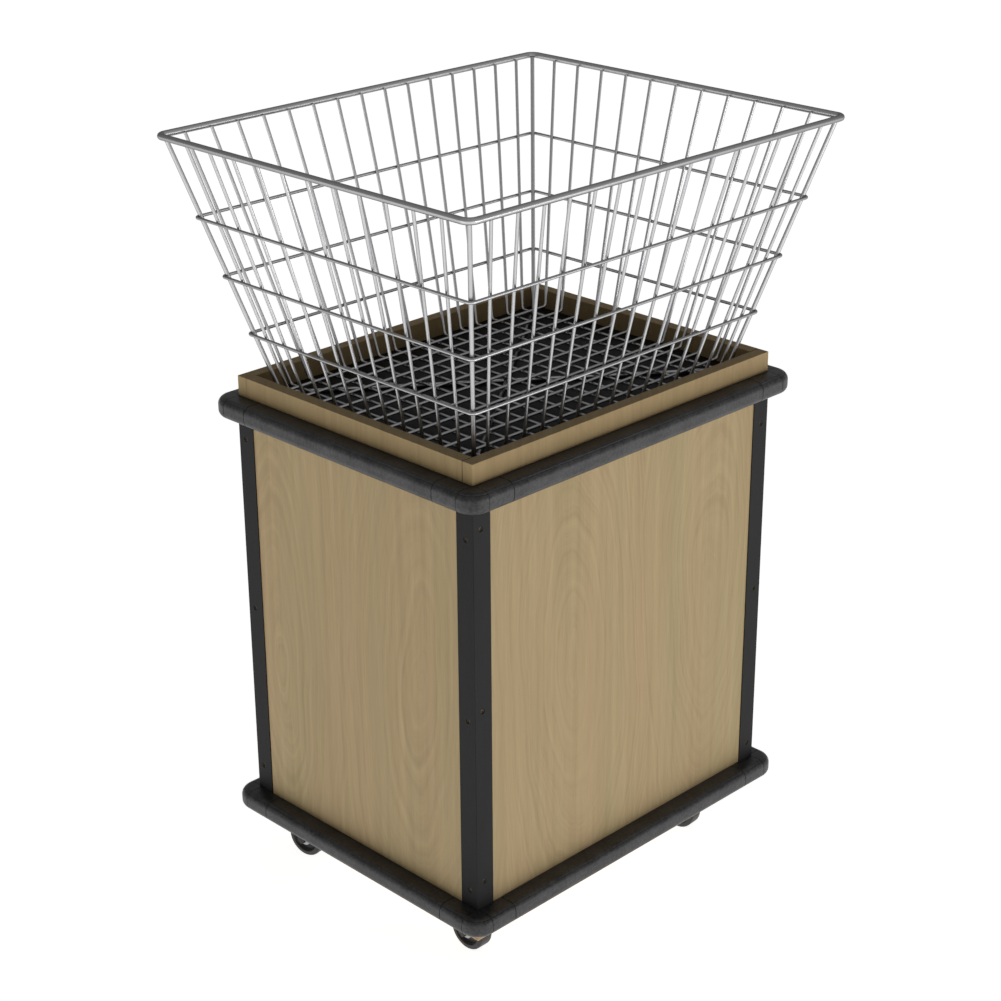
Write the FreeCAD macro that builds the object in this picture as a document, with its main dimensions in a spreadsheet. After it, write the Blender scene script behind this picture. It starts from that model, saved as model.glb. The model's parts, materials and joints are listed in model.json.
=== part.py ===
import FreeCAD, Part
import math
import os
import re
import Sketcher

# Retail dump bin: a birch-faced cabinet on four swivel casters, with steel corner
# angles, two rubber bumper bands, a raised wooden collar and a flared wire basket
# that stands on a black deck inside the collar.
#
# Frame: millimetres, +Z up, origin on the floor under the middle of the cabinet.
# X runs along the long side, the long sides face -Y (front) and +Y (rear).

SIZES = [
    # alias, value, what it is
    ("cabinet_length", 609.6, "cabinet, outer length over the boards"),
    ("cabinet_depth", 482.6, "cabinet, outer depth over the boards"),
    ("panel_height", 663.4, "height of the four wall panels"),
    ("panel_thickness", 19.0, "thickness of the wall panels"),
    ("base_thickness", 22.0, "thickness of the base board"),
    ("deck_thickness", 19.0, "thickness of the deck board"),
    ("collar_thickness", 19.0, "thickness of the collar boards"),
    ("collar_height", 30.5, "height of the collar above the deck"),
    ("board_arris", 0.8, "rounding of the board edges"),
    ("angle_leg", 31.75, "leg width of the corner angles"),
    ("angle_thickness", 1.6, "sheet thickness of the corner angles"),
    ("angle_arris", 0.8, "outer rounding of the corner angles"),
    ("screw_inset", 14.5, "screw axis from the arris of the angle"),
    ("screw_first", 28.2, "lowest screw above the foot of the angle"),
    ("screw_stagger", 15.0, "second leg's screws above the first leg's"),
    ("screw_last", 33.3, "highest screw below the head of the angle"),
    ("screw_mouth", 8.0, "diameter of the countersink at the face"),
    ("screw_shank", 4.8, "shank diameter of the wood screws"),
    ("screw_length", 38.0, "length of the wood screws"),
    ("screw_tip", 5.0, "length of the screw point"),
    ("screw_sink", 0.3, "head below the face of the angle"),
    ("screw_fit", 0.1, "radial clearance of the screws in their holes"),
    ("screw_bottom_gap", 1.5, "blind hole past the screw point"),
    ("recess_width", 1.1, "width of a recess slot in the screw head"),
    ("recess_span", 4.4, "span of the cross recess in the screw head"),
    ("recess_depth", 1.4, "depth of the cross recess"),
    ("bumper_height", 31.0, "height of the bumper bands"),
    ("bumper_depth", 30.1, "bumper from the board face to its nose"),
    ("bumper_nose", 11.5, "corner radius of the bumper nose"),
    ("bumper_leg", 47.2, "corner fitting from the cabinet corner to its seam"),
    ("bumper_seam", 0.8, "open seam between a rail and a corner fitting"),
    ("elbow_land", 1.0, "straight land of the elbow before its groove"),
    ("groove_width", 0.9, "width of the groove beside the elbow"),
    ("groove_depth", 0.9, "depth of the groove beside the elbow"),
    ("caster_height", 80.0, "overall height of the casters"),
    ("caster_inset_x", 67.4, "swivel axis from the short edge of the base"),
    ("caster_inset_y", 58.4, "swivel axis from the long edge of the base"),
    ("plate_length", 92.0, "caster plate along the cabinet"),
    ("plate_width", 60.0, "caster plate across the cabinet"),
    ("plate_thickness", 3.0, "caster plate thickness"),
    ("plate_corner", 7.0, "corner radius of the caster plate"),
    ("bolt_span_x", 76.0, "bolt pattern along the cabinet"),
    ("bolt_span_y", 44.0, "bolt pattern across the cabinet"),
    ("bolt_shank", 6.5, "shank diameter of the caster bolts"),
    ("bolt_flats", 10.0, "caster bolt heads across the flats"),
    ("bolt_head", 3.6, "head height of the caster bolts"),
    ("bolt_bite", 16.0, "bolt shank in the base board"),
    ("bolt_fit", 0.2, "radial clearance of the caster bolts"),
    ("race_diameter", 44.0, "ball race under the caster plate"),
    ("race_height", 3.5, "depth of the ball race"),
    ("swivel_gap", 0.5, "running gap above and below the fork crown"),
    ("kingpin_diameter", 9.5, "kingpin shank"),
    ("kingpin_head", 16.0, "kingpin head diameter"),
    ("kingpin_head_height", 2.4, "kingpin head height"),
    ("kingpin_fit", 0.08, "radial running clearance on the kingpin"),
    ("crown_diameter", 48.0, "disc of the fork crown"),
    ("fork_wall", 2.5, "sheet thickness of the fork"),
    ("fork_gap", 27.0, "inner width between the fork legs"),
    ("fork_front", 19.0, "fork crown ahead of the swivel axis"),
    ("fork_back", 23.0, "fork crown behind the swivel axis"),
    ("fork_skirt", 9.0, "height of the fork's leading edge"),
    ("fork_boss", 9.0, "half width of the fork leg at the axle"),
    ("fork_boss_round", 8.8, "rounding of the fork leg at the axle"),
    ("fork_bend", 2.0, "rounding where the legs turn into the crown"),
    ("caster_trail", 24.0, "axle behind the swivel axis"),
    ("wheel_diameter", 63.5, "caster wheel"),
    ("wheel_width", 24.0, "tread width of the wheel"),
    ("tread_round", 3.5, "rounding of the tread shoulders"),
    ("tread_depth", 8.0, "depth of the tread ring"),
    ("web_thickness", 12.0, "web between hub and tread"),
    ("hub_diameter", 19.0, "wheel hub"),
    ("hub_side_gap", 0.4, "side clearance between hub and fork leg"),
    ("axle_diameter", 8.0, "axle bolt"),
    ("axle_fit", 0.08, "radial running clearance of the wheel"),
    ("axle_seat_fit", 0.1, "radial clearance of the axle in the fork and nut"),
    ("axle_flats", 13.0, "axle head and nut across the flats"),
    ("axle_head", 5.0, "height of the axle head"),
    ("axle_nut", 6.0, "height of the axle nut"),
    ("axle_end", 1.2, "axle bolt past its nut"),
    ("turn_front_left", 0.0, "swivel angle of the front left caster"),
    ("turn_front_right", 4.0, "swivel angle of the front right caster"),
    ("turn_rear_left", 8.0, "swivel angle of the rear left caster"),
    ("turn_rear_right", 12.0, "swivel angle of the rear right caster"),
    ("basket_seat_gap", 0.3, "lowest basket wire above the deck"),
    ("basket_lean", 15.0, "outward lean of the basket walls, degrees"),
    ("basket_end_gap", 22.1, "basket floor to the short collar boards"),
    ("basket_side_gap", 20.3, "basket floor to the long collar boards"),
    ("rim_height", 379.9, "rim wire centre above the deck"),
    ("rim_overhang", 6.1, "rim centre outside the upright wires"),
    ("rim_wire", 9.5, "rim wire diameter"),
    ("rim_bend", 13.0, "centre-line radius of the rim corners"),
    ("hoop_lower", 92.7, "lower hoop above the deck"),
    ("hoop_middle", 178.0, "middle hoop above the deck"),
    ("hoop_upper", 264.1, "upper hoop above the deck"),
    ("hoop_bend", 8.0, "centre-line radius of the hoop corners"),
    ("thin_wire", 4.76, "hoop and upright wire diameter"),
    ("corner_wire", 6.35, "corner wire diameter"),
    ("wire_bend", 7.0, "centre-line radius at the foot of a wire"),
    ("weld_gap", 0.05, "welded wires, surface to surface"),
    ("weld_end_gap", 0.3, "wire end to the rim it is welded to"),
    ("long_wire_spacing", 34.1, "step between the feet of the long side uprights"),
    ("long_floor_margin", 25.0, "last long side upright to the corner, at the floor"),
    ("long_rim_margin", 36.9, "last long side upright to the corner, at the rim"),
    ("short_wire_spacing", 35.3, "step between the feet of the short side uprights"),
    ("short_floor_margin", 25.5, "last short side upright to the corner, at the floor"),
    ("short_rim_margin", 48.9, "last short side upright to the corner, at the rim"),
]

SCREWS_PER_LEG = 3

# Sizes that follow from the sheet, each written once as an expression.
DERIVED = {
    "half_length": "cabinet_length / 2",
    "half_depth": "cabinet_depth / 2",
    "panel_foot": "caster_height + base_thickness",
    "deck_foot": "panel_foot + panel_height",
    "deck_top": "deck_foot + deck_thickness",
    "angle_foot": "panel_foot + bumper_height",
    "top_bumper_foot": "deck_top - bumper_height",
    "angle_length": "top_bumper_foot - angle_foot",
    "screw_rise": "angle_length - screw_first - screw_stagger - screw_last",
    "screw_pitch": f"(screw_rise) / {SCREWS_PER_LEG - 1}",
    "screw_level": "screw_inset - angle_thickness - panel_thickness / 2",
    "screw_reach": "half_length + angle_thickness - screw_inset",
    "pilot_radius": "screw_shank / 2 + screw_fit",
    "pilot_depth": "screw_length + screw_sink + screw_bottom_gap - angle_thickness",
    "screw_cone": "(screw_mouth - screw_shank) / 2",
    "caster_x": "half_length - caster_inset_x",
    "caster_y": "half_depth - caster_inset_y",
    "plate_foot": "caster_height - plate_thickness",
    "crown_top": "plate_foot - race_height - swivel_gap",
    "axle_height": "wheel_diameter / 2",
    "fork_half": "fork_gap / 2 + fork_wall",
    "hub_half": "fork_gap / 2 - hub_side_gap",
    "lean_rise": "tan(basket_lean)",
    "rim_z": "deck_top + rim_height",
    "diagonal_z": "deck_top + basket_seat_gap + corner_wire / 2",
    "long_floor_z": "diagonal_z + corner_wire / 2 + weld_gap + thin_wire / 2",
    "short_floor_z": "long_floor_z + thin_wire + weld_gap",
    "hoop_overhang": "(thin_wire + weld_gap) / cos(basket_lean)",
    "basket_floor_x": "half_length - collar_thickness - basket_end_gap",
    "basket_floor_y": "half_depth - collar_thickness - basket_side_gap",
    "rim_rise": "(rim_z - long_floor_z) * lean_rise",
    "rim_spread": "rim_rise + rim_overhang",
    "long_floor_reach": "basket_floor_x - long_floor_margin",
    "long_rim_reach": "basket_floor_x + rim_rise - long_rim_margin",
    "short_floor_reach": "basket_floor_y - short_floor_margin",
    "short_rim_reach": "basket_floor_y + rim_rise - short_rim_margin",
    "wire_side": "rim_overhang * cos(basket_lean) - thin_wire / 2",
    "wire_slack": "sqrt(rim_wire * rim_wire / 4 - wire_side * wire_side) + weld_end_gap",
    "wire_top_z": "rim_z + (rim_overhang * sin(basket_lean) - wire_slack) * cos(basket_lean)",
    "post_lean": "atan(lean_rise * sqrt(2))",
    "post_touch": "(thin_wire / 2 + corner_wire / 2 + weld_gap) / cos(post_lean)",
    "post_inset": "hoop_bend - hoop_overhang - (hoop_bend - post_touch) / sqrt(2)",
    "post_step": "rim_bend - (rim_bend - rim_overhang - post_inset) * sqrt(2)",
    "post_side": "post_step * cos(post_lean) - corner_wire / 2",
    "post_slack": "sqrt(rim_wire * rim_wire / 4 - post_side * post_side) + weld_end_gap",
    "post_top_z": "rim_z + (post_step * sin(post_lean) - post_slack) * cos(post_lean)",
    "post_foot_drop": "(diagonal_z - long_floor_z) * lean_rise - post_inset",
    "post_head_rise": "(post_top_z - long_floor_z) * lean_rise - post_inset",
}

# Corner names with the signs of X and Y and the turn that brings the front left one there.
CORNERS = [
    ("front_left", -1, -1, 0),
    ("front_right", 1, -1, 90),
    ("rear_right", 1, 1, 180),
    ("rear_left", -1, 1, 270),
]

doc = FreeCAD.newDocument("RetailDumpBin")
sheet = doc.addObject("Spreadsheet::Sheet", "Sizes")
for row, (alias, number, note) in enumerate(SIZES, start=1):
    sheet.set(f"A{row}", note)
    sheet.set(f"B{row}", str(number))
    sheet.setAlias(f"B{row}", alias)
doc.recompute()
ALIASES = {entry[0] for entry in SIZES}
nodes = []


# ---------------------------------------------------------------- expressions
def expr(text):
    """Return the text as an expression on the sheet, with derived sizes written out."""

    def swap(match):
        word = match.group(0)
        if word in DERIVED:
            return "(" + expr(DERIVED[word]) + ")"
        if word in ALIASES:
            return "Sizes." + word
        return word

    return re.sub(r"[a-z]\w*", swap, text)


def value(text):
    """Return the present number of an expression."""
    result = sheet.evalExpression(expr(text))
    return float(result)


def place(item, x="0", y="0", z="0", turn=0, axis=(0, 0, 1)):
    """Turn an object by a fixed angle and bind its position."""
    item.Placement = FreeCAD.Placement(
        FreeCAD.Vector(value(x), value(y), value(z)),
        FreeCAD.Rotation(FreeCAD.Vector(*axis), turn),
    )
    for letter, text in zip("xyz", (x, y, z)):
        item.setExpression(f"Placement.Base.{letter}", expr(text))


# -------------------------------------------------------------------- sketches
def new_body(label, node=True):
    """Start a body; a node is one of the pieces that are written out."""
    body = doc.addObject("PartDesign::Body", label)
    body.Label = label
    if node:
        nodes.append(body)
    return body


def sketch_on(body, role, name, x="0", y="0", z="0"):
    """Attach a sketch to an origin plane of its body, shifted in that plane's own axes."""
    sketch = body.newObject("Sketcher::SketchObject", f"{body.Name}_{name}")
    plane = next(item for item in body.Origin.OriginFeatures if item.Role == role)
    sketch.AttachmentSupport = [(plane, "")]
    sketch.MapMode = "FlatFace"
    for letter, text in zip("xyz", (x, y, z)):
        if text != "0":
            sketch.setExpression(f"AttachmentOffset.Base.{letter}", expr(text))
    return sketch


def bind(sketch, kind, *where, text):
    """Add a dimension to a sketch and bind it to an expression."""
    index = sketch.addConstraint(Sketcher.Constraint(kind, *where, value(text)))
    sketch.setExpression(f"Constraints[{index}]", expr(text))


def fix_point(sketch, geometry, position, x, y):
    """Hold a point of a sketch at x, y; a zero lies on the axis."""
    for kind, text, axis in (("DistanceX", x, -2), ("DistanceY", y, -1)):
        if text == "0":
            sketch.addConstraint(Sketcher.Constraint("PointOnObject", geometry, position, axis))
        else:
            bind(sketch, kind, geometry, position, text=text)


def draw(sketch, corners, closed=True):
    """Draw straight runs through corners (x, y) or rounded corners (x, y, radius)."""
    count = len(corners)
    spots = [FreeCAD.Vector(value(corner[0]), value(corner[1]), 0) for corner in corners]
    ends = []
    for index, spot in enumerate(spots):
        if len(corners[index]) == 2:
            ends.append((spot, spot, None))
            continue
        back = (spots[index - 1] - spot).normalize()
        ahead = (spots[(index + 1) % count] - spot).normalize()
        half_turn = back.getAngle(ahead) / 2
        radius = value(corners[index][2])
        reach = radius / math.tan(half_turn)
        middle = (back + ahead).normalize() * (radius / math.sin(half_turn))
        ends.append((spot + back * reach, spot + ahead * reach, spot + middle))
    runs = count if closed else count - 1
    lines = []
    for index in range(runs):
        start = ends[index][1]
        finish = ends[(index + 1) % count][0]
        lines.append(sketch.addGeometry(Part.LineSegment(start, finish)))
    for index, corner in enumerate(corners):
        before = lines[index - 1] if closed or index > 0 else None
        after = lines[index] if index < runs else None
        if len(corner) == 2:
            if before is not None and after is not None:
                sketch.addConstraint(Sketcher.Constraint("Coincident", before, 2, after, 1))
            if after is not None:
                fix_point(sketch, after, 1, corner[0], corner[1])
            else:
                fix_point(sketch, before, 2, corner[0], corner[1])
            continue
        arrive, leave, centre = ends[index]
        first = math.atan2(arrive.y - centre.y, arrive.x - centre.x)
        last = math.atan2(leave.y - centre.y, leave.x - centre.x)
        turn = (arrive - centre).cross(leave - centre).z
        circle = Part.Circle(centre, FreeCAD.Vector(0, 0, 1), (arrive - centre).Length)
        if turn > 0:
            arc = sketch.addGeometry(Part.ArcOfCircle(circle, first, last))
            joins = ((before, 2, arc, 1), (after, 1, arc, 2))
        else:
            arc = sketch.addGeometry(Part.ArcOfCircle(circle, last, first))
            joins = ((before, 2, arc, 2), (after, 1, arc, 1))
        for join in joins:
            sketch.addConstraint(Sketcher.Constraint("Tangent", *join))
        bind(sketch, "Radius", arc, text=corner[2])
        apex = sketch.addGeometry(Part.Point(spots[index]), True)
        fix_point(sketch, apex, 1, corner[0], corner[1])
        for line in (before, after):
            sketch.addConstraint(Sketcher.Constraint("PointOnObject", apex, 1, line))


def rectangle(sketch, x0, y0, x1, y1, radius=None):
    """Draw a rectangle, with rounded corners if a radius is given."""
    tail = () if radius is None else (radius,)
    draw(sketch, [(x0, y0, *tail), (x1, y0, *tail), (x1, y1, *tail), (x0, y1, *tail)])


def hexagon(sketch, flats):
    """Draw a hexagon about the sketch's origin, by its size across the flats."""
    corners = []
    for step in range(6):
        bearing = 60 * step + 30
        reach = f"{flats} / sqrt(3)"
        corners.append((f"{reach} * cos({bearing})", f"{reach} * sin({bearing})"))
    for index, (x, y) in enumerate(corners):
        corners[index] = ("0" if abs(value(x)) < 1e-9 else x, "0" if abs(value(y)) < 1e-9 else y)
    draw(sketch, corners)


def circle(sketch, x, y, radius):
    """Draw a circle with bound centre and radius."""
    centre = FreeCAD.Vector(value(x), value(y), 0)
    ring = Part.Circle(centre, FreeCAD.Vector(0, 0, 1), value(radius))
    index = sketch.addGeometry(ring)
    bind(sketch, "Radius", index, text=radius)
    fix_point(sketch, index, 3, x, y)


# -------------------------------------------------------------------- features
def extrude(kind, body, sketch, name, length, symmetric=False, reversed_way=False):
    """Pad or pocket a sketch by a bound length."""
    feature = body.newObject(f"PartDesign::{kind}", f"{body.Name}_{name}")
    feature.Profile = sketch
    feature.SideType = "Symmetric" if symmetric else "One side"
    feature.Reversed = reversed_way
    feature.setExpression("Length", expr(length))
    return feature


def turn_about(kind, body, sketch, name, axis, angle=360, reversed_way=False):
    """Revolve or groove a sketch about one of its own axes."""
    feature = body.newObject(f"PartDesign::{kind}", f"{body.Name}_{name}")
    feature.Profile = sketch
    feature.ReferenceAxis = (sketch, [axis])
    feature.Angle = angle
    feature.Reversed = reversed_way
    return feature


def round_all(body, feature, radius):
    """Round every edge of a feature."""
    fillet = body.newObject("PartDesign::Fillet", f"{body.Name}_arris")
    fillet.Base = (feature, [""])
    fillet.UseAllEdges = True
    fillet.setExpression("Radius", expr(radius))
    return fillet


def sweep(body, path, wire):
    """Sweep a round wire along a path sketch of the same body."""
    section = body.newObject("Sketcher::SketchObject", f"{body.Name}_section")
    section.AttachmentSupport = [(path, "Edge1")]
    section.MapMode = "NormalToEdge"
    circle(section, "0", "0", f"{wire} / 2")
    pipe = body.newObject("PartDesign::AdditivePipe", f"{body.Name}_wire")
    pipe.Profile = section
    pipe.Spine = (path, [""])
    return pipe


def group(label, members):
    """Gather like pieces as one node of separate solids."""
    compound = doc.addObject("Part::Compound", label)
    compound.Label = label
    compound.Links = members
    nodes.append(compound)


def copies(master, name, spots):
    """Set linked copies of a master piece at spots (x, y, z, turn, axis)."""
    links = []
    for number, (x, y, z, turn, axis) in enumerate(spots, start=1):
        link = doc.addObject("App::Link", f"{name}_{number:02d}")
        link.LinkedObject = master
        link.LinkTransform = False
        place(link, x, y, z, turn, axis)
        links.append(link)
    return links


# ---------------------------------------------------------------------- boards
def board(label, length, depth, thickness):
    """A board centred on its origin, lying on the XY plane, with eased edges."""
    body = new_body(label)
    outline = sketch_on(body, "XY_Plane", "outline")
    half = (f"{length} / 2", f"{depth} / 2")
    rectangle(outline, f"-({half[0]})", f"-({half[1]})", *half)
    slab = extrude("Pad", body, outline, "slab", thickness)
    round_all(body, slab, "board_arris")
    return body


def panel(label, length, turn, x, y, faced):
    """A wall panel, outer face towards its own -Y, drilled for the angle screws.

    The screws of the low row enter at the -X end and those of the high row at the +X
    end; a faced panel covers the ends of its neighbours and is drilled through too.
    """
    body = board(label, length, "panel_thickness", "panel_height")
    rows = {"low": "bumper_height + screw_first"}
    rows["high"] = rows["low"] + " + screw_stagger"
    depth = "pilot_depth" if faced else "pilot_depth - panel_thickness"
    for row, sign, into in (("low", "-", True), ("high", "", False)):
        ends = sketch_on(body, "YZ_Plane", f"{row}_end", z=f"{sign}({length}) / 2")
        for step in range(SCREWS_PER_LEG):
            circle(ends, "screw_level", f"{rows[row]} + {step} * screw_pitch", "pilot_radius")
        extrude("Pocket", body, ends, f"{row}_end_pilots", depth, reversed_way=into)
    if faced:
        face = sketch_on(body, "XZ_Plane", "face")
        for row, sign in (("high", "-"), ("low", "")):
            for step in range(SCREWS_PER_LEG):
                level = f"{rows[row]} + {step} * screw_pitch"
                circle(face, f"{sign}(screw_reach)", level, "pilot_radius")
        extrude("Pocket", body, face, "face_pilots", "2 * panel_thickness", symmetric=True)
    place(body, x, y, "panel_foot", turn)


base = board("base_board", "cabinet_length", "cabinet_depth", "base_thickness")
bolt_holes = sketch_on(base, "XY_Plane", "bolt_holes")
for name, side_x, side_y, turn in CORNERS:
    for across in (-1, 1):
        for along in (-1, 1):
            circle(
                bolt_holes,
                f"{side_x} * (caster_x) + {along} * bolt_span_x / 2",
                f"{side_y} * (caster_y) + {across} * bolt_span_y / 2",
                "bolt_shank / 2 + bolt_fit",
            )
extrude("Pocket", base, bolt_holes, "pilots", "bolt_bite + screw_bottom_gap", reversed_way=True)
place(base, z="caster_height")

inner_depth = "(cabinet_depth - 2 * panel_thickness)"
wall_x = "half_length - panel_thickness / 2"
wall_y = "half_depth - panel_thickness / 2"
panel("front_panel", "cabinet_length", 0, "0", f"-({wall_y})", True)
panel("rear_panel", "cabinet_length", 180, "0", wall_y, True)
panel("left_panel", inner_depth, 270, f"-({wall_x})", "0", False)
panel("right_panel", inner_depth, 90, wall_x, "0", False)

deck = board("deck_board", "cabinet_length", "cabinet_depth", "deck_thickness")
place(deck, z="deck_foot")

inner_collar = "(cabinet_depth - 2 * collar_thickness)"
for name, length, turn, x, y in (
    ("front", "cabinet_length", 0, "0", "-(half_depth - collar_thickness / 2)"),
    ("rear", "cabinet_length", 180, "0", "half_depth - collar_thickness / 2"),
    ("left", inner_collar, 270, "-(half_length - collar_thickness / 2)", "0"),
    ("right", inner_collar, 90, "half_length - collar_thickness / 2", "0"),
):
    collar = board(f"{name}_collar_board", length, "collar_thickness", "collar_height")
    place(collar, x, y, "deck_top", turn)


# -------------------------------------------------------------- corner angles
def countersinks(body, name, x, y, level, axis):
    """Three countersunk holes up one leg; the sketch's own axis is the screw's axis."""
    seat = sketch_on(body, "XY_Plane", name, x, y, level)
    shank = "pilot_radius"
    over = "angle_thickness"
    steps = [
        ("0", f"-({over})"),
        (f"screw_mouth / 2 + screw_fit + {over}", f"-({over})"),
        (shank, "screw_cone"),
        (shank, f"screw_cone + 2 * {over}"),
        ("0", f"screw_cone + 2 * {over}"),
    ]
    if axis == "H_Axis":
        steps = [(depth, radius) for radius, depth in steps]
    draw(seat, steps)
    cut = turn_about("Groove", body, seat, f"{name}_hole", axis)
    row = body.newObject("PartDesign::LinearPattern", f"{body.Name}_{name}_row")
    row.Originals = [cut]
    row.Direction = (seat, ["N_Axis"])
    row.setExpression("Length", expr(f"{SCREWS_PER_LEG - 1} * screw_pitch"))
    row.Occurrences = SCREWS_PER_LEG
    body.Tip = row


for name, side_x, side_y, turn in CORNERS:
    angle = new_body(f"{name}_corner_angle")
    section = sketch_on(angle, "XY_Plane", "section")
    draw(
        section,
        [
            ("0", "0", "angle_arris"),
            ("angle_leg", "0"),
            ("angle_leg", "angle_thickness"),
            ("angle_thickness", "angle_thickness"),
            ("angle_thickness", "angle_leg"),
            ("0", "angle_leg"),
        ],
    )
    extrude("Pad", angle, section, "length", "angle_length")
    countersinks(angle, "high", "screw_inset", "0", "screw_first + screw_stagger", "V_Axis")
    countersinks(angle, "low", "0", "screw_inset", "screw_first", "H_Axis")
    place(
        angle,
        f"{side_x} * (half_length + angle_thickness)",
        f"{side_y} * (half_depth + angle_thickness)",
        "angle_foot",
        turn,
    )

# Countersunk wood screw with a cross recess; its own -Z is the way it drives in, and
# its origin lies on the face of the angle.
screw = new_body("angle_screw_master", node=False)
screw_half = sketch_on(screw, "XZ_Plane", "half")
draw(
    screw_half,
    [
        ("0", "-screw_sink"),
        ("screw_mouth / 2 - screw_sink", "-screw_sink"),
        ("screw_shank / 2", "-(screw_cone)"),
        ("screw_shank / 2", "-(screw_length - screw_tip)"),
        ("0", "-screw_length"),
    ],
)
turn_about("Revolution", screw, screw_half, "turned", "V_Axis")
for name, wide, high in (
    ("slot_a", "recess_span", "recess_width"),
    ("slot_b", "recess_width", "recess_span"),
):
    slot = sketch_on(screw, "XY_Plane", name, z="-screw_sink")
    rectangle(slot, f"-{wide} / 2", f"-{high} / 2", f"{wide} / 2", f"{high} / 2")
    extrude("Pocket", screw, slot, f"{name}_cut", "recess_depth")

screw_spots = []
for name, side_x, side_y, turn in CORNERS:
    faces_y = turn % 180 == 0
    for step in range(SCREWS_PER_LEG):
        low = f"angle_foot + screw_first + {step} * screw_pitch"
        high = f"{low} + screw_stagger"
        screw_spots.append(
            (
                f"{side_x} * (half_length + angle_thickness - screw_inset)",
                f"{side_y} * (half_depth + angle_thickness)",
                high if faces_y else low,
                90 * -side_y,
                (1, 0, 0),
            )
        )
        screw_spots.append(
            (
                f"{side_x} * (half_length + angle_thickness)",
                f"{side_y} * (half_depth + angle_thickness - screw_inset)",
                low if faces_y else high,
                90 * side_x,
                (0, 1, 0),
            )
        )
group("angle_screws", copies(screw, "angle_screw", screw_spots))


# -------------------------------------------------------------- bumper bands
BUMPER_SECTION = [
    ("0", "0"),
    ("-bumper_depth", "0", "bumper_nose"),
    ("-bumper_depth", "bumper_height", "bumper_nose"),
    ("0", "bumper_height"),
]
# The waste of a groove: outside the band, then back inside it by the groove's depth.
GROOVE_SECTION = [
    ("0", "-groove_depth"),
    ("-bumper_depth - groove_depth", "-groove_depth"),
    ("-bumper_depth - groove_depth", "bumper_height + groove_depth"),
    ("0", "bumper_height + groove_depth"),
    ("0", "bumper_height - groove_depth"),
    ("-bumper_depth + groove_depth", "bumper_height - groove_depth", "bumper_nose - groove_depth"),
    ("-bumper_depth + groove_depth", "groove_depth", "bumper_nose - groove_depth"),
    ("0", "groove_depth"),
]

for level, foot in (("bottom", "panel_foot"), ("top", "top_bumper_foot")):
    for name, turn, length, x, y in (
        ("front", 0, "cabinet_length", "0", "-half_depth"),
        ("rear", 180, "cabinet_length", "0", "half_depth"),
        ("left", 270, "cabinet_depth", "-half_length", "0"),
        ("right", 90, "cabinet_depth", "half_length", "0"),
    ):
        rail = new_body(f"{name}_{level}_bumper")
        section = sketch_on(rail, "YZ_Plane", "section")
        draw(section, BUMPER_SECTION)
        span = f"{length} - 2 * bumper_leg - bumper_seam"
        extrude("Pad", rail, section, "length", span, symmetric=True)
        place(rail, x, y, foot, turn)
    for name, side_x, side_y, turn in CORNERS:
        fitting = new_body(f"{name}_{level}_bumper_corner")
        leg = "bumper_leg - bumper_seam / 2"
        section = sketch_on(fitting, "YZ_Plane", "section_x")
        draw(section, BUMPER_SECTION)
        extrude("Pad", fitting, section, "leg_x", leg)
        section = sketch_on(fitting, "XZ_Plane", "section_y")
        draw(section, BUMPER_SECTION)
        extrude("Pad", fitting, section, "leg_y", leg, reversed_way=True)
        section = sketch_on(fitting, "YZ_Plane", "section_elbow")
        draw(section, BUMPER_SECTION)
        turn_about("Revolution", fitting, section, "elbow", "V_Axis", 90, reversed_way=True)
        waste = sketch_on(fitting, "YZ_Plane", "groove_x", z="elbow_land")
        draw(waste, GROOVE_SECTION)
        extrude("Pocket", fitting, waste, "groove_x_cut", "groove_width", reversed_way=True)
        waste = sketch_on(fitting, "XZ_Plane", "groove_y", z="-elbow_land")
        draw(waste, GROOVE_SECTION)
        extrude("Pocket", fitting, waste, "groove_y_cut", "groove_width")
        place(fitting, f"{side_x} * (half_length)", f"{side_y} * (half_depth)", foot, turn)


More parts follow.
